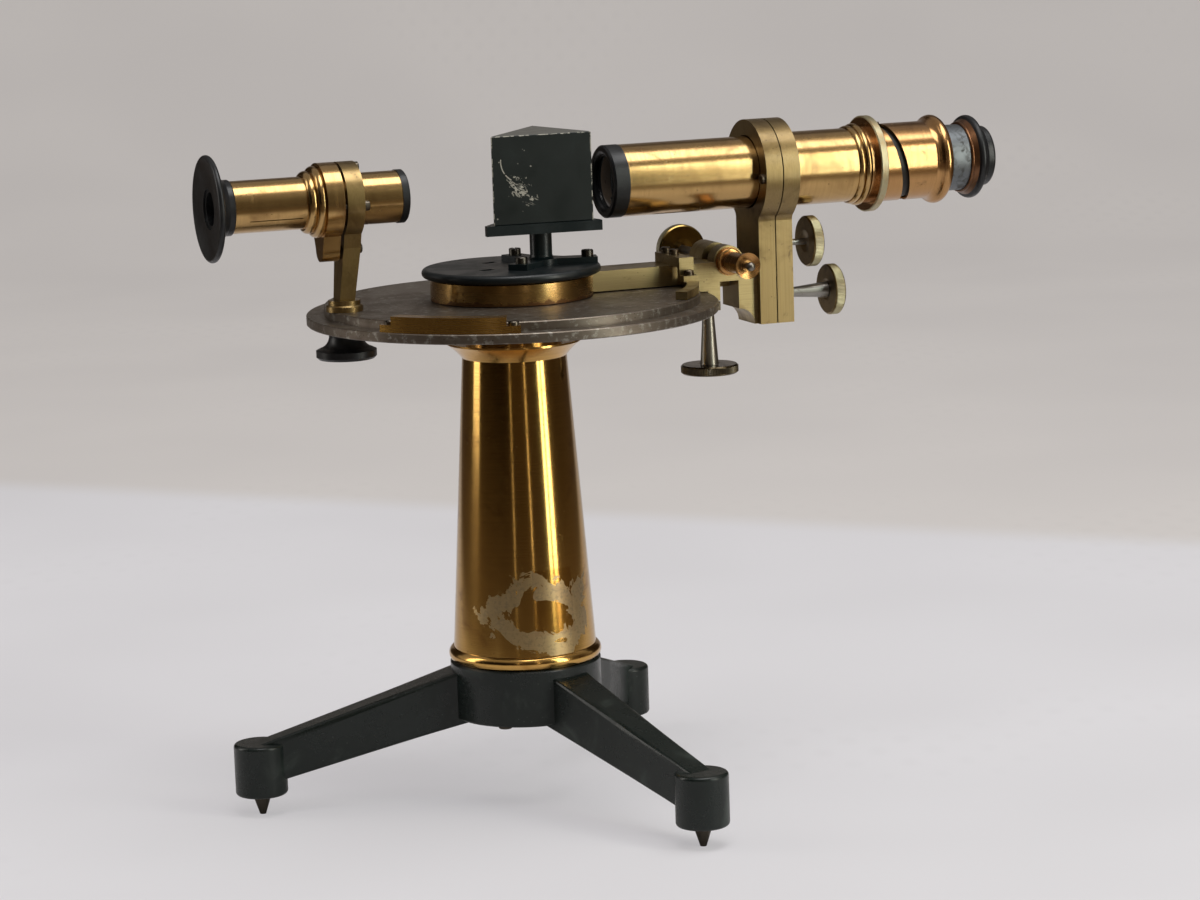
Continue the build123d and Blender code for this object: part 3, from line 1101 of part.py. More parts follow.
NODES = {
    "tripod": tripod,
    "foot_spikes": foot_spikes,
    "hub_screws": hub_screws,
    "column": column,
    "column_bead": column_bead,
    "column_neck": column_neck,
    "axle": axle,
    "limb_plate": limb_plate,
    "divided_circle": divided_circle,
    "limb_vernier": limb_vernier,
    "limb_vernier_screws": limb_vernier_screws,
    "viewer_pillar": viewer_pillar,
    "pillar_base": pillar_base,
    "stand_knob": stand_knob,
    "viewer_flange": viewer_flange,
    "viewer_tube": viewer_tube,
    "viewer_screws": viewer_screws,
    "viewer_cap": viewer_cap,
    "viewer_lens": viewer_lens,
    "eyecup": eyecup,
    "viewer_drawtube": viewer_drawtube,
    "eyepiece_lens": eyepiece_lens,
    "arm_hub": arm_hub,
    "arm_bar": arm_bar,
    "arm_vernier": arm_vernier,
    "arm_vernier_screws": arm_vernier_screws,
    "spring_barrel": spring_barrel,
    "plunger_spring": plunger_spring,
    "plunger": plunger,
    "tangent_pad": tangent_pad,
    "tangent_screw": tangent_screw,
    "tangent_knob": tangent_knob,
    "clamp_block": clamp_block,
    "clamp_jaw": clamp_jaw,
    "clamp_stem": clamp_stem,
    "clamp_knob": clamp_knob,
    "guard_carrier": guard_carrier,
    "guard_screw": guard_screw,
    "tilt_carrier": tilt_carrier,
    "upper_screw": upper_screw,
    "upper_knob": upper_knob,
    "lower_screw": lower_screw,
    "lower_knob": lower_knob,
    "telescope_tube": telescope_tube,
    "objective_cell": objective_cell,
    "objective_lens": objective_lens,
    "focus_guide": focus_guide,
    "guide_tube": guide_tube,
    "focus_sleeve": focus_sleeve,
    "drawtube": drawtube,
    "draw_collar": draw_collar,
    "eye_ring": eye_ring,
    "eye_disc": eye_disc,
    "guide_pin": guide_pin,
    "table_disc": table_disc,
    "spider": spider,
    "spider_screws": spider_screws,
    "prism_plate": prism_plate,
    "prism": prism,
}

os.makedirs("parts", exist_ok=True)
for node_name, make in NODES.items():
    save(node_name, make())
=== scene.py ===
"""Dresses the goniometer: finishes, milled knobs, engraved scales, studio and camera."""
import logging
import math
from dataclasses import dataclass
from enum import Enum
from typing import Callable, Dict, Iterable, Mapping, Optional, Sequence, Tuple, Union

import bpy
from mathutils import Matrix, Vector


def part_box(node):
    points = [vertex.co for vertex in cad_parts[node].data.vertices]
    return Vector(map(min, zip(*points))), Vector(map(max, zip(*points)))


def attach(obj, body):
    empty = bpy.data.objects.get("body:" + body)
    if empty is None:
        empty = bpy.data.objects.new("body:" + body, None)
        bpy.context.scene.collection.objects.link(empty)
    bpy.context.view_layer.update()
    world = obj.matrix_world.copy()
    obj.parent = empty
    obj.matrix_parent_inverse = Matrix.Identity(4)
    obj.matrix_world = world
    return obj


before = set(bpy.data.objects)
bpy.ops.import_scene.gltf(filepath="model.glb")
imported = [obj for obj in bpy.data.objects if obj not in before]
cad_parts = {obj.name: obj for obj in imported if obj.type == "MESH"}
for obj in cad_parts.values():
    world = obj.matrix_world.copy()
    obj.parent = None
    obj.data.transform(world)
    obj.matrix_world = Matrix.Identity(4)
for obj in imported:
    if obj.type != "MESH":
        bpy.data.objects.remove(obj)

LOG = logging.getLogger("goniometer")
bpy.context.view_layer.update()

Point = Tuple[float, float, float]
Paint = Tuple[float, float, float]
MM = 0.001
TUBE_HEIGHT = 256.4 * MM
ARM_TOP = 220.4 * MM


def paint(code: str) -> Paint:
    """Turns a written colour into the linear one that a shader takes.

    Args:
        code: six hexadecimal digits.

    Returns:
        Linear red, green and blue.
    """
    parts = [int(code[i:i + 2], 16) / 255 for i in (0, 2, 4)]
    return tuple(p / 12.92 if p <= 0.04045 else ((p + 0.055) / 1.055) ** 2.4 for p in parts)


class Value:
    """A number that varies over a surface. An expression on it adds Math nodes."""

    def __init__(self, graph: "Graph", socket: bpy.types.NodeSocket) -> None:
        """Wraps a socket of a graph."""
        self.graph = graph
        self.socket = socket

    def maths(self, operation: str, *others: "Number") -> "Value":
        """Adds one Math node.

        Args:
            operation: the node's operation.
            others: its other inputs after this one.

        Returns:
            The node's result.
        """
        inputs = dict(enumerate((self, *others)))
        node = self.graph.add("ShaderNodeMath", {"operation": operation}, inputs)
        return Value(self.graph, node.outputs[0])

    def __add__(self, other: "Number") -> "Value":
        """Sum."""
        return self.maths("ADD", other)

    __radd__ = __add__

    def __mul__(self, other: "Number") -> "Value":
        """Product."""
        return self.maths("MULTIPLY", other)

    __rmul__ = __mul__

    def __sub__(self, other: "Number") -> "Value":
        """Difference."""
        return self.maths("SUBTRACT", other)

    def __rsub__(self, other: "Number") -> "Value":
        """Difference, the other way round."""
        return (self * -1.0) + other

    def __truediv__(self, other: "Number") -> "Value":
        """Quotient."""
        return self.maths("DIVIDE", other)

    def __pow__(self, other: "Number") -> "Value":
        """Power."""
        return self.maths("POWER", other)

    def __gt__(self, other: "Number") -> "Value":
        """1 where this is greater."""
        return self.maths("GREATER_THAN", other)

    def __lt__(self, other: "Number") -> "Value":
        """1 where this is less."""
        return self.maths("LESS_THAN", other)

    def __abs__(self) -> "Value":
        """Size without sign."""
        return self.maths("ABSOLUTE")

    def least(self, other: "Number") -> "Value":
        """The smaller of two."""
        return self.maths("MINIMUM", other)

    def most(self, other: "Number") -> "Value":
        """The greater of two."""
        return self.maths("MAXIMUM", other)

    def ramp(self, low: float, high: float, start: float = 0.0, end: float = 1.0) -> "Value":
        """A smooth step.

        Args:
            low: where the step starts.
            high: where it ends.
            start: result before low.
            end: result after high.

        Returns:
            The stepped value.
        """
        settings = {"interpolation_type": "SMOOTHSTEP", "clamp": True}
        inputs = {0: self, 1: low, 2: high, 3: start, 4: end}
        return Value(self.graph, self.graph.add("ShaderNodeMapRange", settings, inputs).outputs[0])


Number = Union[float, Value]
Input = Union[Number, Sequence[float], bpy.types.NodeSocket]


class Graph:
    """The node tree of one material, or of the room's light."""

    def __init__(self, name: str, room: bool = False) -> None:
        """Makes an empty material, or an empty world, of that name."""
        self.material = bpy.data.worlds.new(name) if room else bpy.data.materials.new(name)
        self.material.use_nodes = True
        self.tree = self.material.node_tree
        self.tree.nodes.clear()

    def add(self, kind: str, settings: Optional[Mapping[str, object]] = None,
            inputs: Optional[Mapping[Union[str, int], Input]] = None) -> bpy.types.Node:
        """Adds a node of any type.

        Args:
            kind: the node's type.
            settings: its properties, set first.
            inputs: values or links for its sockets, by name or number.

        Returns:
            The node.
        """
        node = self.tree.nodes.new(kind)
        for key, setting in (settings or {}).items():
            setattr(node, key, setting)
        for key, given in (inputs or {}).items():
            socket = node.inputs[key]
            if isinstance(given, Value):
                self.tree.links.new(given.socket, socket)
            elif isinstance(given, bpy.types.NodeSocket):
                self.tree.links.new(given, socket)
            elif socket.type == "RGBA" and len(given) == 3:
                socket.default_value = (*given, 1.0)
            else:
                socket.default_value = given
        return node

    def placed(self, centre: Point = (0, 0, 0), turn: Point = (0, 0, 0),
               size: Point = (1, 1, 1)) -> bpy.types.NodeSocket:
        """Object coordinates seen from a place.

        Args:
            centre: the pattern's centre, in metres.
            turn: its turn, in degrees.
            size: its size on each axis.

        Returns:
            The vector socket.
        """
        source = self.add("ShaderNodeTexCoord").outputs["Object"]
        angles = [math.radians(angle) for angle in turn]
        inputs = {"Vector": source, "Location": centre, "Rotation": angles, "Scale": size}
        return self.add("ShaderNodeMapping", {"vector_type": "TEXTURE"}, inputs).outputs[0]

    def split(self, vector: bpy.types.NodeSocket) -> Tuple[Value, Value, Value]:
        """The three numbers of a vector."""
        node = self.add("ShaderNodeSeparateXYZ", None, {0: vector})
        return tuple(Value(self, output) for output in node.outputs)

    def join(self, x: Number, y: Number, z: Number) -> bpy.types.NodeSocket:
        """A vector of three numbers."""
        return self.add("ShaderNodeCombineXYZ", None, {0: x, 1: y, 2: z}).outputs[0]

    def noise(self, vector: bpy.types.NodeSocket, scale: float, detail: float = 3.0, rough: float = 0.55,
              swirl: float = 0.0) -> Value:
        """A cloudy pattern from 0 to 1.

        Args:
            vector: where it is read.
            scale: its fineness.
            detail: octaves.
            rough: weight of the finer octaves.
            swirl: distortion.

        Returns:
            The pattern.
        """
        inputs = {"Vector": vector, "Scale": scale, "Detail": detail, "Roughness": rough,
                  "Distortion": swirl}
        return Value(self, self.add("ShaderNodeTexNoise", None, inputs).outputs[0])

    def specks(self, vector: bpy.types.NodeSocket, scale: float, size: float) -> Value:
        """Small round spots, 1 inside and 0 outside.

        Args:
            vector: where they are read.
            scale: how many stand in a metre.
            size: their share of the spacing.

        Returns:
            The spots' mask.
        """
        inputs = {"Vector": vector, "Scale": scale, "Randomness": 1.0}
        cells = self.add("ShaderNodeTexVoronoi", {"feature": "F1"}, inputs)
        return Value(self, cells.outputs["Distance"]).ramp(size, 0.4 * size)

    def mix(self, share: Number, first: Input, second: Input) -> bpy.types.NodeSocket:
        """Two colours mixed.

        Args:
            share: 0 for the first and 1 for the second.
            first: a colour.
            second: a colour.

        Returns:
            The mixed colour.
        """
        node = self.add("ShaderNodeMix", {"data_type": "RGBA"}, {0: share, 6: first, 7: second})
        return node.outputs[2]

    def dress(self, color: Input, rough: Input, metal: Input = 1.0, height: Optional[Value] = None,
              depth: float = 0.0, coat: float = 0.0, **fixed: float) -> bpy.types.Material:
        """Closes the tree with one Principled shader.

        Args:
            color: base colour.
            rough: roughness.
            metal: metallic share.
            height: the relief that a Bump node reads.
            depth: the relief's depth in metres.
            coat: weight of the clear coat.
            fixed: other sockets' numbers, by name with underscores.

        Returns:
            The finished material.
        """
        inputs: Dict[str, Input] = {"Base Color": color, "Roughness": rough, "Metallic": metal,
                                    "Coat Weight": coat}
        inputs.update({key.replace("_", " "): given for key, given in fixed.items()})
        if height is not None:
            relief = {"Strength": 1.0, "Distance": depth, "Height": height}
            inputs["Normal"] = self.add("ShaderNodeBump", None, relief).outputs[0]
        shader = self.add("ShaderNodeBsdfPrincipled", None, inputs)
        self.add("ShaderNodeOutputMaterial", None, {"Surface": shader.outputs[0]})
        return self.material


class Grain(Enum):
    """How the maker's tool ran over a metal surface: lathe turned about an axis, or filed along one."""

    TURNED_X = (0, 90, 0)
    TURNED_Y = (90, 0, 0)
    TURNED_Z = (0, 0, 0)
    FILED_X = (0, 90, 1)
    FILED_Z = (0, 0, 1)

    def marks(self, graph: Graph, centre: Point, fineness: float = 2600.0) -> Tuple[Value, Value, Value]:
        """Lays the tool marks.

        Args:
            graph: the material's graph.
            centre: a point on the turning axis, in metres.
            fineness: marks in a metre.

        Returns:
            The marks, the distance from the axis and the place along it.
        """
        turn_x, turn_y, filed = self.value
        turn = (turn_x, 0.0, 0.0) if turn_y == 0 and turn_x else (0.0, float(turn_y), 0.0)
        across, beside, along = graph.split(graph.placed(centre, turn))
        radius = (across * across + beside * beside) ** 0.5
        if filed:
            where = graph.join(across * fineness, beside * fineness, along * 30.0)
        else:
            where = graph.join(radius * fineness, along * fineness, across * 25.0 + beside * 25.0)
        return graph.noise(where, 1.0, 2.0, 0.6), radius, along


@dataclass(frozen=True)
class Brass:
    """Old lacquered brass: golden, browned in clouds, spotted where the lacquer has failed."""

    grain: Grain = Grain.TURNED_Z
    centre: Point = (0.0, 0.0, 0.0)
    gold: str = "c29c56"
    brown: str = "8c652c"
    stain: str = "33200f"
    rough: float = 0.2
    age: float = 0.35
    fineness: float = 2600.0
    relief: float = 0.000006

    def make(self, name: str) -> bpy.types.Material:
        """Builds the material.

        Args:
            name: its name.

        Returns:
            The material.
        """
        graph = Graph(name)
        marks, _, _ = self.grain.marks(graph, self.centre, self.fineness)
        here = graph.placed()
        clouds = graph.noise(here, 38.0, 4.0, 0.6, 0.6)
        grime = graph.noise(here, 170.0, 5.0, 0.65, 0.4)
        spots = graph.specks(here, 420.0, 0.16) * (graph.noise(here, 60.0) > 0.55)
        browned = clouds.ramp(0.62 - 0.3 * self.age, 0.78 - 0.1 * self.age)
        color = graph.mix(browned, paint(self.gold), paint(self.brown))
        dirt = (grime.ramp(0.60, 0.74) * self.age).most(spots * 0.55)
        color = graph.mix(dirt, color, paint(self.stain))
        color = graph.mix(marks.ramp(0.35, 0.7) * 0.22, color, paint(self.brown))
        rough = marks * 0.14 + browned * 0.08 + dirt * 0.25 + (self.rough - 0.06)
        color, rough = self.wear(graph, color, rough)
        metal = 1.0 - dirt * 0.35
        return graph.dress(color, rough, metal, marks, self.relief, coat=0.15, Coat_Roughness=0.12)

    def wear(self, graph: Graph, color: Input, rough: Value) -> Tuple[Input, Value]:
        """Adds damage of its own to a piece. Plain brass has none.

        Args:
            graph: the material's graph.
            color: the colour so far.
            rough: the roughness so far.

        Returns:
            The new colour and roughness.
        """
        return color, rough


@dataclass(frozen=True)
class ColumnBrass(Brass):
    """The column's brass: bright, with lacquer gone in a grey ring low at the front."""

    loss_angle: float = -92.0
    loss_height: float = 83.0 * MM
    loss_width: float = 44.0
    loss_rise: float = 13.5 * MM
    bare: str = "918e7c"
    amber: str = "9a6a22"

    def wear(self, graph: Graph, color: Input, rough: Value) -> Tuple[Input, Value]:
        """Takes the lacquer off in a ragged ring, and leaves an amber square above it.

        Args:
            graph: the material's graph.
            color: the colour so far.
            rough: the roughness so far.

        Returns:
            The new colour and roughness.
        """
        here = graph.placed()
        x, y, z = graph.split(here)
        angle = y.maths("ARCTAN2", x) * (180.0 / math.pi)
        across = (angle - self.loss_angle) / self.loss_width
        up = (z - self.loss_height) / self.loss_rise
        ragged = graph.noise(here, 75.0, 4.0, 0.6, 0.8)
        ring = (across * across + up * up) ** 0.5 + (ragged - 0.5) * 2.1
        patch = ring.ramp(0.60, 0.66) * ring.ramp(1.22, 1.14)
        crumbs = graph.noise(here, 620.0, 3.0, 0.7).ramp(0.5, 0.62)
        square = abs(across - 0.22).ramp(0.44, 0.42) * abs(up - 0.35).ramp(1.02, 0.98)
        color = graph.mix(square * 0.55, color, paint(self.amber))
        color = graph.mix(patch * 0.5, color, paint(self.bare))
        color = graph.mix(patch * crumbs * 0.3, color, paint("5c5a50"))
        runs = graph.noise(graph.placed(size=(1.0, 1.0, 7.0)), 130.0, 3.0, 0.6)
        drips = runs.ramp(0.66, 0.76) * z.ramp(0.105, 0.06)
        color = graph.mix(drips * 0.45, color, paint(self.stain))
        return color, rough + patch * 0.22 + patch * crumbs * 0.1 + drips * 0.1


@dataclass(frozen=True)
class DrumBrass(Brass):
    """The arm drum's brass, stained red-brown along its foot and under the arm."""

    foot: float = 211.7 * MM
    reach: float = 3.4 * MM
    tarnish: str = "4f3020"

    def wear(self, graph: Graph, color: Input, rough: Value) -> Tuple[Input, Value]:
        """Creeps the stain up from the foot.

        Args:
            graph: the material's graph.
            color: the colour so far.
            rough: the roughness so far.

        Returns:
            The new colour and roughness.
        """
        here = graph.placed()
        _, _, z = graph.split(here)
        creep = graph.noise(here, 110.0, 4.0, 0.6, 0.7) * 2.6 - 1.0
        stain = ((z - self.foot) / self.reach - creep).ramp(0.12, -0.1)
        return graph.mix(stain * 0.8, color, paint(self.tarnish)), rough + stain * 0.2


@dataclass(frozen=True)
class SleeveBrass(Brass):
    """The focusing sleeve's brass, with the lacquer handled off its grip flange."""

    grip_radius: float = 19.5 * MM
    handled: str = "a8a183"

    def wear(self, graph: Graph, color: Input, rough: Value) -> Tuple[Input, Value]:
        """Pales the flange's edge.

        Args:
            graph: the material's graph.
            color: the colour so far.
            rough: the roughness so far.

        Returns:
            The new colour and roughness.
        """
        here = graph.placed(self.centre)
        _, y, z = graph.split(here)
        edge = ((y * y + z * z) ** 0.5).ramp(self.grip_radius, self.grip_radius + 0.4 * MM)
        patchy = graph.noise(here, 300.0, 4.0, 0.6).ramp(0.3, 0.6, 0.55, 0.95)
        return graph.mix(edge * patchy, color, paint(self.handled)), rough + edge * 0.24


@dataclass(frozen=True)
class Gunmetal:
    """The grey-brown plates: turned rings, dull patches and bright speckle on the rims."""

    color: str = "746b61"
    dull: str = "554b42"
    bright: str = "a19d95"
    rough: float = 0.4
    inner: float = 72.6 * MM
    outer: float = 76.6 * MM
    line: float = 0.09 * MM
    top: float = 211.4 * MM

    def make(self, name: str) -> bpy.types.Material:
        """Builds the material.

        Args:
            name: its name.

        Returns:
            The material.
        """
        graph = Graph(name)
        marks, radius, _ = Grain.TURNED_Z.marks(graph, (0, 0, 0), 1800.0)
        here = graph.placed()
        clouds = graph.noise(here, 28.0, 5.0, 0.62, 0.8).ramp(0.35, 0.72)
        fine = graph.noise(here, 330.0, 5.0, 0.7)
        color = graph.mix(clouds, paint(self.color), paint(self.dull))
        color = graph.mix(fine.ramp(0.52, 0.66) * 0.75, color, paint(self.bright))
        color = graph.mix(marks.ramp(0.4, 0.7) * 0.3, color, paint(self.dull))
        color = graph.mix(graph.specks(here, 380.0, 0.15) * 0.6, color, paint("2a211a"))
        color = graph.mix(self.scale(graph, radius) * 0.8, color, paint("171310"))
        rough = clouds * 0.14 + fine * 0.16 + marks * 0.1 + (self.rough - 0.12)
        return graph.dress(color, rough, 0.9, marks * 0.6 + fine * 0.4, 0.000012)

    def scale(self, graph: Graph, radius: Value) -> Value:
        """Engraves the circle's degree lines, longer at every fifth.

        Args:
            graph: the material's graph.
            radius: distance from the axle.

        Returns:
            The lines' mask.
        """
        x, y, z = graph.split(graph.placed())
        degrees = y.maths("ARCTAN2", x) * (180.0 / math.pi) + 360.0
        lines = zip((1.0, 5.0), (self.inner + 1.2 * MM, self.inner))
        marks = 0.0
        for step, start in lines:
            apart = abs((degrees / step).maths("FRACT") - 0.5) * step
            offset = (0.5 * step - apart) * radius * (math.pi / 180.0)
            marks = ((offset < self.line) * (radius > start) * (radius < self.outer)).most(marks)
        return marks * (z > self.top - 0.4 * MM)


@dataclass(frozen=True)
class Enamel:
    """Black paint over metal, with dust in the grain and rubbed spots."""

    color: str = "141615"
    worn: str = "3b3f3c"
    rough: float = 0.42
    scale: float = 1.0
    relief: float = 0.00003
    metal: float = 0.0

    def make(self, name: str) -> bpy.types.Material:
        """Builds the material.

        Args:
            name: its name.

        Returns:
            The material.
        """
        graph = Graph(name)
        here = graph.placed()
        grit = graph.noise(here, 900.0 * self.scale, 4.0, 0.65)
        clouds = graph.noise(here, 45.0 * self.scale, 5.0, 0.6, 0.5)
        rubbed = (clouds.ramp(0.55, 0.8) * 0.6).most(graph.specks(here, 330.0 * self.scale, 0.12) * 0.5)
        color = graph.mix(rubbed, paint(self.color), paint(self.worn))
        rough = clouds.ramp(0.3, 0.75) * 0.2 + grit * 0.12 + (self.rough - 0.14)
        color, rough = self.wear(graph, color, rough)
        height = grit * 0.7 + clouds * 0.3
        return graph.dress(color, rough, self.metal, height, self.relief, Specular_IOR_Level=0.34)

    def wear(self, graph: Graph, color: Input, rough: Value) -> Tuple[Input, Value]:
        """Adds damage of its own to a piece. Plain enamel has none.

        Args:
            graph: the material's graph.
            color: the colour so far.
            rough: the roughness so far.

        Returns:
            The new colour and roughness.
        """
        return color, rough


@dataclass(frozen=True)
class PrismEnamel(Enamel):
    """The prism's paint: dusty on top, rubbed along its edges and chipped at the front."""

    top: float = 279.1 * MM
    right: float = 31.2 * MM
    left: float = -10.9 * MM
    chip_place: Point = (1.4 * MM, -14.0 * MM, 256.8 * MM)
    chip_reach: float = 6.6 * MM
    scratch_centre: Tuple[float, float] = (1.5 * MM, 268.5 * MM)
    scratch_radius: float = 8.7 * MM
    scratch_high: float = 269.5 * MM
    scratch_low: float = 260.6 * MM
    scratch_end: float = -2.9 * MM
    bare: str = "a9a69c"

    def wear(self, graph: Graph, color: Input, rough: Value) -> Tuple[Input, Value]:
        """Dusts the top, rubs the edges, and scrapes the front face.

        Args:
            graph: the material's graph.
            color: the colour so far.
            rough: the roughness so far.

        Returns:
            The new colour and roughness.
        """
        here = graph.placed()
        x, y, z = graph.split(here)
        broken = graph.noise(here, 420.0, 4.0, 0.65)
        combed = graph.placed(self.chip_place, (0, 35, 0), (2.2, 1.0, 0.8))
        fibres = graph.noise(combed, 520.0, 3.0, 0.7, 1.5)
        aside = (x - self.chip_place[0]) / self.chip_reach
        above = (z - self.chip_place[2]) / self.chip_reach
        slope = aside + above
        near = (aside * aside * 0.8 + above * above * 0.6 + slope * slope * 0.9) ** 0.5
        front = y < -8.0 * MM
        chips = (fibres - near * 0.16).ramp(0.44, 0.47) * near.ramp(1.15, 0.95) * front
        aside_of_arc = x - self.scratch_centre[0]
        above_arc = z - self.scratch_centre[1]
        off_arc = (aside_of_arc ** 2.0 + above_arc ** 2.0) ** 0.5 - self.scratch_radius
        stretch = (z < self.scratch_high) * (z > self.scratch_low) * (x < self.scratch_end)
        scratch = abs(off_arc).ramp(0.28 * MM, 0.14 * MM) * stretch * (broken > 0.42) * front
        spots = graph.specks(here, 260.0, 0.13) * (broken > 0.5) * (x < 8.0 * MM)
        dusty = z > self.top - 0.12 * MM
        sides = (x > self.right - 0.55 * MM).most(x < self.left + 0.35 * MM)
        edges = (z > self.top - 0.5 * MM).most(sides)
        rubbed = edges * broken.ramp(0.47, 0.54) * (1.0 - dusty)
        color = graph.mix(dusty * (broken * 0.3 + 0.6), color, paint("66645f"))
        bare = chips.most(scratch).most(spots * 0.8).most(rubbed * 0.85)
        return graph.mix(bare, color, paint(self.bare)), rough + bare * 0.2 + dusty * 0.2


@dataclass(frozen=True)
class Steel:
    """Bright or browned steel, turned or filed."""

    grain: Grain = Grain.TURNED_Z
    centre: Point = (0.0, 0.0, 0.0)
    color: str = "77726a"
    rust: str = "3a2a1e"
    rough: float = 0.34
    age: float = 0.5

    def make(self, name: str) -> bpy.types.Material:
        """Builds the material.

        Args:
            name: its name.

        Returns:
            The material.
        """
        graph = Graph(name)
        marks, _, _ = self.grain.marks(graph, self.centre, 3000.0)
        here = graph.placed()
        rusted = graph.noise(here, 260.0, 5.0, 0.65, 0.6).ramp(0.68 - 0.3 * self.age, 0.84 - 0.2 * self.age)
        color = graph.mix(rusted * 0.8, paint(self.color), paint(self.rust))
        rough = marks * 0.16 + rusted * 0.25 + (self.rough - 0.08)
        return graph.dress(color, rough, 1.0 - rusted * 0.3, marks, 0.000008)


@dataclass(frozen=True)
class Glass:
    """Polished lens glass, with the dark of the tube behind it."""

    color: str = "1a2226"

    def make(self, name: str) -> bpy.types.Material:
        """Builds the material.

        Args:
            name: its name.

        Returns:
            The material.
        """
        graph = Graph(name)
        dust = graph.noise(graph.placed(), 500.0, 4.0, 0.6).ramp(0.55, 0.8)
        color = graph.mix(dust * 0.25, paint(self.color), paint("5a6062"))
        return graph.dress(color, dust * 0.12 + 0.03, 0.0, coat=1.0, Coat_Roughness=0.02)


class Shelf:
    """Keeps each finish once and puts it on nodes and pieces."""

    def __init__(self) -> None:
        """Starts with no finishes."""
        self.made: Dict[object, bpy.types.Material] = {}

    def take(self, name: str, finish: object) -> bpy.types.Material:
        """The material of a finish, made on first use.

        Args:
            name: its name.
            finish: a finish with a make method.

        Returns:
            The material.
        """
        if finish not in self.made:
            self.made[finish] = finish.make(name)
        return self.made[finish]

    def on(self, nodes: Iterable[str], name: str, finish: object) -> None:
        """Puts a finish on CAD nodes.

        Args:
            nodes: their names.
            name: the material's name.
            finish: the finish.
        """
        material = self.take(name, finish)
        for node in nodes:
            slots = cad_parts[node].data.materials
            slots.clear()
            slots.append(material)
            LOG.info("%s: %s", node, name)


AXIS = (0.0, 0.0, TUBE_HEIGHT)
TUBE_BRASS = Brass(Grain.TURNED_X, AXIS, gold="b4935f", brown="80603a", rough=0.19, age=0.35)
BLACK_LACQUER = Enamel("17181a", "3c3c3b", 0.38, 1.6, 0.00001)


@dataclass
class Milling:
    """The straight milled band that a finger knob is gripped by."""

    node: str
    body: str
    along: int
    finish: Brass
    teeth: int = 110
    rise: float = 0.18 * MM
    seat: float = 0.9 * MM
    margin: float = 0.65 * MM

    def build(self, shelf: Shelf) -> None:
        """Cuts the band round the knob's edge.

        Args:
            shelf: the finishes.
        """
        low, high = (Vector(corner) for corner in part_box(self.node))
        radius = (high - low)[(self.along + 1) % 3] / 2
        width = (high - low)[self.along] - 2 * self.margin
        deselect()
        bpy.ops.mesh.primitive_cylinder_add(vertices=2 * self.teeth, radius=radius, depth=width,
                                            end_fill_type="NOTHING")
        band = bpy.context.object
        band.name = self.node + "_milling"
        edit(band, "VERT", lambda vertex: self.is_crest(vertex.co))
        bpy.ops.transform.resize(value=((radius + self.rise) / radius,) * 2 + (1.0,))
        edit(band, "EDGE", lambda edge: self.is_hoop(band, edge))
        bpy.ops.mesh.extrude_region_move()
        bpy.ops.transform.resize(value=((radius - self.seat) / radius,) * 2 + (1.0,))
        bpy.ops.mesh.bridge_edge_loops()
        bpy.ops.mesh.select_all(action="SELECT")
        bpy.ops.mesh.normals_make_consistent(inside=False)
        bpy.ops.object.mode_set(mode="OBJECT")
        band.location = (low + high) / 2
        quarter = math.radians(90)
        band.rotation_euler = ((0, quarter, 0), (quarter, 0, 0), (0, 0, 0))[self.along]
        bpy.ops.object.transform_apply(location=True, rotation=True, scale=True)
        band.data.materials.append(shelf.take("milled edge brass", self.finish))
        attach(band, self.body)
        LOG.info("%s: %d teeth on %s", band.name, self.teeth, self.body)

    def is_crest(self, place: Vector) -> bool:
        """True on every second line of the band."""
        return round(math.atan2(place.y, place.x) * self.teeth / math.pi) % 2 == 0

    def is_hoop(self, band: bpy.types.Object, edge: bpy.types.MeshEdge) -> bool:
        """True on the edges round the band's two ends."""
        heights = [band.data.vertices[i].co.z for i in edge.vertices]
        return abs(heights[0] - heights[1]) < 0.01 * MM


@dataclass
class Stand:
    """The tripod, the column, the plates and the fixed viewing tube."""

    shelf: Shelf

    def dress(self) -> None:
        """Gives every piece of the stand its finish."""
        on = self.shelf.on
        on(["tripod"], "black stove enamel", Enamel("131a18", "47504c", 0.3, relief=0.00002))
        on(["foot_spikes", "hub_screws"], "dark turned steel",
           Steel(color="4c4740", rust="1d1712", rough=0.42))
        on(["column"], "column lacquered brass",
           ColumnBrass(gold="be9650", brown="8a622e", rough=0.12, age=0.25))
        on(["column_bead", "column_neck"], "moulding brass",
           Brass(gold="cba059", brown="94662b", rough=0.16, age=0.2))
        on(["axle"], "axle steel", Steel())
        on(["limb_plate", "divided_circle"], "plate gunmetal", Gunmetal())
        on(["limb_vernier"], "vernier brass",
           Brass(gold="b08a48", brown="805c2c", age=0.45, rough=0.26))
        on(["limb_vernier_screws", "viewer_screws"], "small screw steel", Steel(color="5d564c"))
        on(["viewer_pillar", "pillar_base"], "pillar brass",
           Brass(Grain.FILED_Z, gold="967f54", brown="655231", age=0.5, rough=0.3))
        on(["viewer_tube", "viewer_flange"], "tube brass", TUBE_BRASS)
        on(["viewer_cap", "eyecup", "stand_knob"], "black lacquer", BLACK_LACQUER)
        on(["viewer_lens", "eyepiece_lens", "objective_lens"], "lens glass", Glass())
        on(["viewer_drawtube"], "drawtube brass", TUBE_BRASS)


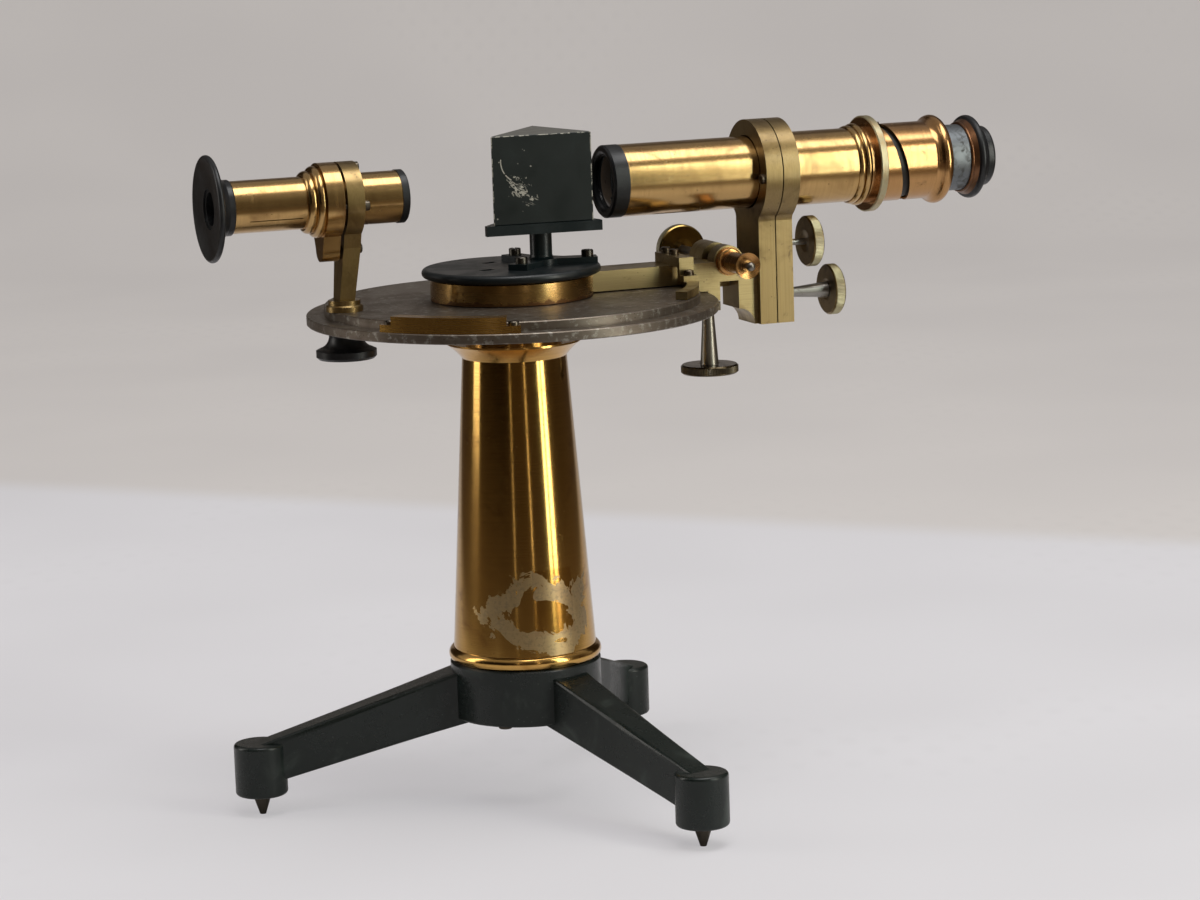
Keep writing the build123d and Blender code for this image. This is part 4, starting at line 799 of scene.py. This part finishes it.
@dataclass
class Arm:
    """The radial arm with its vernier, tangent screw, clamp and carriers."""

    shelf: Shelf
    tangent_axis: Point = (93.5 * MM, 0.0, ARM_TOP)
    clamp_axis: Point = (87.2 * MM, 0.0, 0.0)

    def dress(self) -> None:
        """Gives every piece of the arm its finish."""
        on = self.shelf.on
        on(["arm_hub"], "drum brass", DrumBrass(gold="a88650", brown="70522c", age=0.55, rough=0.24))
        filed = Brass(Grain.FILED_X, AXIS, gold="9c8a62", brown="665334", age=0.5, rough=0.36)
        on(["arm_bar", "arm_vernier", "clamp_block"], "filed brass", filed)
        on(["arm_vernier_screws", "guard_screw", "clamp_jaw"], "arm screw steel", Steel(color="5a5043"))
        on(["spring_barrel"], "barrel brass",
           Brass(Grain.TURNED_Y, self.tangent_axis, "b08450", "774d28", rough=0.24, age=0.4))
        on(["plunger_spring", "plunger", "tangent_pad", "tangent_screw"], "screw steel",
           Steel(Grain.TURNED_Y, self.tangent_axis))
        on(["tangent_knob"], "tangent knob brass",
           Brass(Grain.TURNED_Y, self.tangent_axis, "9a8048", "6b5029", age=0.6))
        on(["clamp_stem"], "clamp stem steel", Steel(centre=self.clamp_axis, color="8a857b", age=0.3))
        on(["clamp_knob"], "clamp knob brass",
           Brass(centre=self.clamp_axis, gold="6a5c42", brown="3d3527", age=0.7))
        carrier = Brass(Grain.FILED_Z, gold="84704b", brown="58472c", age=0.5, rough=0.36)
        on(["guard_carrier", "tilt_carrier"], "carrier brass", carrier)


@dataclass
class Telescope:
    """The telescope, its focusing sleeve, draw tube and two adjusting screws."""

    shelf: Shelf
    upper_screw_height: float = 225.2 * MM
    lower_screw_height: float = 203.9 * MM

    def dress(self) -> None:
        """Gives every piece of the telescope its finish."""
        on = self.shelf.on
        on(["telescope_tube", "focus_guide"], "tube brass", TUBE_BRASS)
        on(["focus_sleeve"], "sleeve brass",
           SleeveBrass(Grain.TURNED_X, AXIS, "b08757", "7c5632", rough=0.2, age=0.35))
        on(["draw_collar"], "collar bronze",
           Brass(Grain.TURNED_X, AXIS, "7d573b", "44301f", rough=0.3, age=0.5))
        on(["guide_tube"], "inner tube black", Enamel("1d1a15", "4b4233", 0.45, 1.6, 0.00001))
        on(["objective_cell", "eye_ring", "eye_disc"], "black lacquer", BLACK_LACQUER)
        on(["drawtube"], "scuffed grey metal",
           Steel(Grain.TURNED_X, AXIS, color="6d7174", rust="38342e", rough=0.46, age=0.75))
        on(["guide_pin"], "pin steel", Steel())
        for end, height in (("upper", self.upper_screw_height), ("lower", self.lower_screw_height)):
            centre = (0.0, 0.0, height)
            on([end + "_screw"], end + " screw steel",
               Steel(Grain.TURNED_X, centre, color="8d8a84", age=0.3))
            on([end + "_knob"], end + " knob brass",
               Brass(Grain.TURNED_X, centre, "8b7750", "54452b", age=0.6, rough=0.34))


@dataclass
class Table:
    """The turning table with the spider and the prism."""

    shelf: Shelf

    def dress(self) -> None:
        """Gives every piece of the table its finish."""
        on = self.shelf.on
        on(["table_disc"], "table black", Enamel("14191b", "3a3d3b", 0.36, 1.3, 0.00001))
        on(["spider", "prism_plate"], "holder black", Enamel("0f191b", "26363a", 0.36, 1.3, 0.00001))
        on(["spider_screws"], "holder screw steel", Steel(color="4f4c46", age=0.4))
        on(["prism"], "prism black", PrismEnamel("0c1514", "1b2524", 0.46, 1.5, 0.00001))


@dataclass(frozen=True)
class SoftBox:
    """One upright lamp, placed by its azimuth round the object."""

    name: str
    azimuth: float
    distance: float
    height: float
    aim_height: float
    size: Tuple[float, float]
    power: float
    color: Paint


WINDOW_AND_TOP = (
    SoftBox("right pane", -58.0, 1.1, 0.6, 0.55, (0.085, 1.2), 3.0, (0.88, 1.0, 0.93)),
    SoftBox("right inner pane", -49.0, 1.1, 0.6, 0.55, (0.13, 1.2), 5.0, (1.0, 0.95, 0.84)),
    SoftBox("front slit", -90.0, 1.2, 0.6, 0.55, (0.025, 1.2), 0.30, (1.0, 0.9, 0.75)),
    SoftBox("left slit", -121.0, 1.2, 0.6, 0.55, (0.02, 1.2), 0.16, (1.0, 0.9, 0.75)),
    SoftBox("left window", 160.0, 1.6, 0.9, 0.85, (0.5, 1.7), 9.0, (1.0, 0.96, 0.9)),
    SoftBox("overhead", -60.0, 0.45, 1.9, 0.17, (1.6, 0.9), 22.0, (1.0, 1.0, 1.0)))


@dataclass
class Studio:
    """Pale floor and backdrop, soft lamps, and the camera where the photograph was taken."""

    camera_place: Point = (-0.5039, -1.4300, 0.4037)
    heading: float = 20.70
    dip: float = 9.64
    roll: float = 1.92
    lens: float = 111.0
    lamps: Tuple[SoftBox, ...] = WINDOW_AND_TOP
    aim_x: float = 0.03
    sweep_size: Tuple[float, float] = (9.0, 6.0)
    sweep_rise: float = 3.0
    sweep_curve: float = 1.2
    wall_line: float = 0.62
    wall_slope: float = 0.45
    fold_color: str = "a9a5a6"
    floor_color: str = "dcdadd"
    wall_color: str = "d3cecb"
    paleness: float = 0.6
    room_back: str = "cbc6c3"
    # dark front of the room: the world's light from the front, and the painted shade on the paper outside
    # the camera's view
    front_shade: str = "5c4d3d"
    room_dark: str = "221b14"
    room_seen: str = "c9c5c2"

    def paper(self) -> bpy.types.Material:
        """The floor and wall paper: pale to the camera, and dark to the metal where no camera looks, a
        painted shade of the dark room in front that the metal shows as painted dark reflections.

        Returns:
            The material.
        """
        graph = Graph("pale paper")
        here = graph.placed()
        x, y, z = graph.split(here)
        wall = (y + x * self.wall_slope - self.wall_line).ramp(0.0, 0.06)
        plain = graph.mix(wall, paint(self.floor_color), paint(self.wall_color))
        weave = (x * 260.0).maths("SINE") * (y * 150.0).maths("SINE")
        cloud = graph.noise(here, 3.0, 2.0).ramp(0.3, 0.7) * 0.12
        plain = graph.mix(cloud.most(weave * 0.05), plain, paint(self.fold_color))
        rays = graph.add("ShaderNodeLightPath")
        seen = Value(graph, rays.outputs["Is Camera Ray"])
        # painted shade: outside the camera's view the paper turns dark brown for every ray but the
        # camera's, standing in for the dark front of the room, so the metal shows painted dark reflections
        painted_room_shade = (y * -1.0 - 0.3).most(abs(x) - (y * 0.21 + 0.36)).ramp(0.0, 0.25)
        plain = graph.mix(painted_room_shade * (1.0 - seen), plain, paint(self.front_shade))
        shader = graph.add("ShaderNodeBsdfPrincipled", None, {"Base Color": plain, "Roughness": 0.9})
        glow = graph.add("ShaderNodeEmission", None, {"Color": plain, "Strength": 1.0})
        shares = {0: seen * self.paleness, 1: shader.outputs[0], 2: glow.outputs[0]}
        both = graph.add("ShaderNodeMixShader", None, shares)
        graph.add("ShaderNodeOutputMaterial", None, {"Surface": both.outputs[0]})
        return graph.material

    def backdrop(self) -> None:
        """A floor that sweeps up behind the object."""
        deselect()
        bpy.ops.mesh.primitive_plane_add(size=1.0)
        sweep = bpy.context.object
        sweep.name = "backdrop"
        sweep.scale = (*self.sweep_size, 1.0)
        sweep.rotation_euler = (0, 0, -math.radians(self.heading))
        bpy.ops.object.transform_apply(scale=True, rotation=False)
        bpy.ops.object.mode_set(mode="EDIT")
        bpy.ops.mesh.select_all(action="DESELECT")
        bpy.ops.object.mode_set(mode="OBJECT")
        for edge in sweep.data.edges:
            edge.select = all(sweep.data.vertices[i].co.y > 0 for i in edge.vertices)
        bpy.ops.object.mode_set(mode="EDIT")
        bpy.ops.mesh.select_mode(type="EDGE")
        bpy.ops.mesh.extrude_region_move(TRANSFORM_OT_translate={"value": (0, 0, self.sweep_rise)})
        bpy.ops.mesh.select_all(action="DESELECT")
        bpy.ops.object.mode_set(mode="OBJECT")
        for edge in sweep.data.edges:
            ends = [sweep.data.vertices[i].co for i in edge.vertices]
            edge.select = all(end.y > 0 and abs(end.z) < 0.01 for end in ends)
        bpy.ops.object.mode_set(mode="EDIT")
        bpy.ops.mesh.bevel(offset=self.sweep_curve, segments=16)
        bpy.ops.object.mode_set(mode="OBJECT")
        bpy.ops.object.shade_smooth()
        sweep.data.materials.append(self.paper())

    def lamp(self, box: SoftBox) -> None:
        """Hangs one soft box, which no camera sees.

        Args:
            box: the soft box.
        """
        data = bpy.data.lights.new(box.name, "AREA")
        data.shape = "RECTANGLE"
        data.size, data.size_y = box.size
        data.energy = box.power
        data.color = box.color
        lamp = bpy.data.objects.new(box.name, data)
        bpy.context.scene.collection.objects.link(lamp)
        lamp.visible_camera = False
        angle = math.radians(box.azimuth)
        place = Vector((box.distance * math.cos(angle), box.distance * math.sin(angle), box.height))
        aim = Vector((self.aim_x, 0.0, box.aim_height))
        turn = (aim - place).to_track_quat("-Z", "Y").to_matrix().to_4x4()
        lamp.matrix_world = Matrix.Translation(place) @ turn

    def light(self) -> None:
        """Hangs the lamps, and lights the room: pale behind and above, brown in front, dark at the left."""
        for box in self.lamps:
            self.lamp(box)
        graph = Graph("room", room=True)
        direction = graph.add("ShaderNodeTexCoord").outputs["Generated"]
        x, y, z = graph.split(direction)
        shadow = (x * -0.95 + y * -0.31).ramp(0.6, 0.92) * z.ramp(0.75, 0.35)
        color = graph.mix(y.ramp(-0.3, 0.4), paint(self.front_shade), paint(self.room_back))
        color = graph.mix(z.ramp(0.35, 0.9), color, paint(self.room_back))
        color = graph.mix(shadow, color, paint(self.room_dark))
        rays = graph.add("ShaderNodeLightPath")
        seen = Value(graph, rays.outputs["Is Camera Ray"])
        color = graph.mix(seen, color, paint(self.room_seen))
        background = graph.add("ShaderNodeBackground", None, {"Color": color, "Strength": seen * 0.4 + 0.6})
        graph.add("ShaderNodeOutputWorld", None, {"Surface": background.outputs[0]})
        bpy.context.scene.world = graph.material

    def camera(self) -> None:
        """Stands the camera where the photograph was taken from."""
        data = bpy.data.cameras.new("camera")
        data.lens = self.lens
        data.sensor_width = 36.0
        data.clip_end = 30.0
        camera = bpy.data.objects.new("camera", data)
        bpy.context.scene.collection.objects.link(camera)
        heading = Matrix.Rotation(-math.radians(self.heading), 4, "Z")
        tilt = Matrix.Rotation(math.radians(90 - self.dip), 4, "X")
        roll = Matrix.Rotation(-math.radians(self.roll), 4, "Z")
        camera.matrix_world = Matrix.Translation(self.camera_place) @ heading @ tilt @ roll
        bpy.context.scene.camera = camera

    def build(self) -> None:
        """Builds the whole studio."""
        self.backdrop()
        self.light()
        self.camera()
        bpy.context.scene.view_settings.view_transform = "Standard"


def milled_bands() -> Tuple[Milling, ...]:
    """The milled bands of the four finger knobs."""
    pale = Brass(gold="a59d80", brown="7d7558", rough=0.4, age=0.5)
    dark = Brass(gold="5e5544", brown="37322a", rough=0.42, age=0.6)
    return (Milling("upper_knob", "upper_adjuster", 0, pale),
            Milling("lower_knob", "lower_adjuster", 0, pale),
            Milling("tangent_knob", "tangent", 1, pale),
            Milling("clamp_knob", "clamp_screw", 2, dark))


def deselect() -> None:
    """Clears the selection, because the loaded nodes come selected."""
    for thing in bpy.context.selected_objects:
        thing.select_set(False)


def edit(piece: bpy.types.Object, kind: str, wanted: Callable[[object], bool]) -> None:
    """Opens a piece in edit mode with some of it selected.

    Args:
        piece: the piece, which is the active object.
        kind: VERT, EDGE or FACE.
        wanted: says whether a vertex, edge or face is selected.
    """
    if piece.mode != "EDIT":
        bpy.ops.object.mode_set(mode="EDIT")
    bpy.ops.mesh.select_mode(type=kind)
    bpy.ops.mesh.select_all(action="DESELECT")
    bpy.ops.object.mode_set(mode="OBJECT")
    parts = {"VERT": piece.data.vertices, "EDGE": piece.data.edges, "FACE": piece.data.polygons}[kind]
    for part in parts:
        part.select = wanted(part)
    bpy.ops.object.mode_set(mode="EDIT")


def main() -> None:
    """Dresses each sub-assembly in order, then builds the studio."""
    logging.basicConfig(level=logging.INFO, format="%(message)s")
    shelf = Shelf()
    for assembly in (Stand(shelf), Arm(shelf), Telescope(shelf), Table(shelf)):
        LOG.info("dressing the %s", type(assembly).__name__)
        assembly.dress()
    for band in milled_bands():
        band.build(shelf)
    Studio().build()


if __name__ == "__main__":
    main()
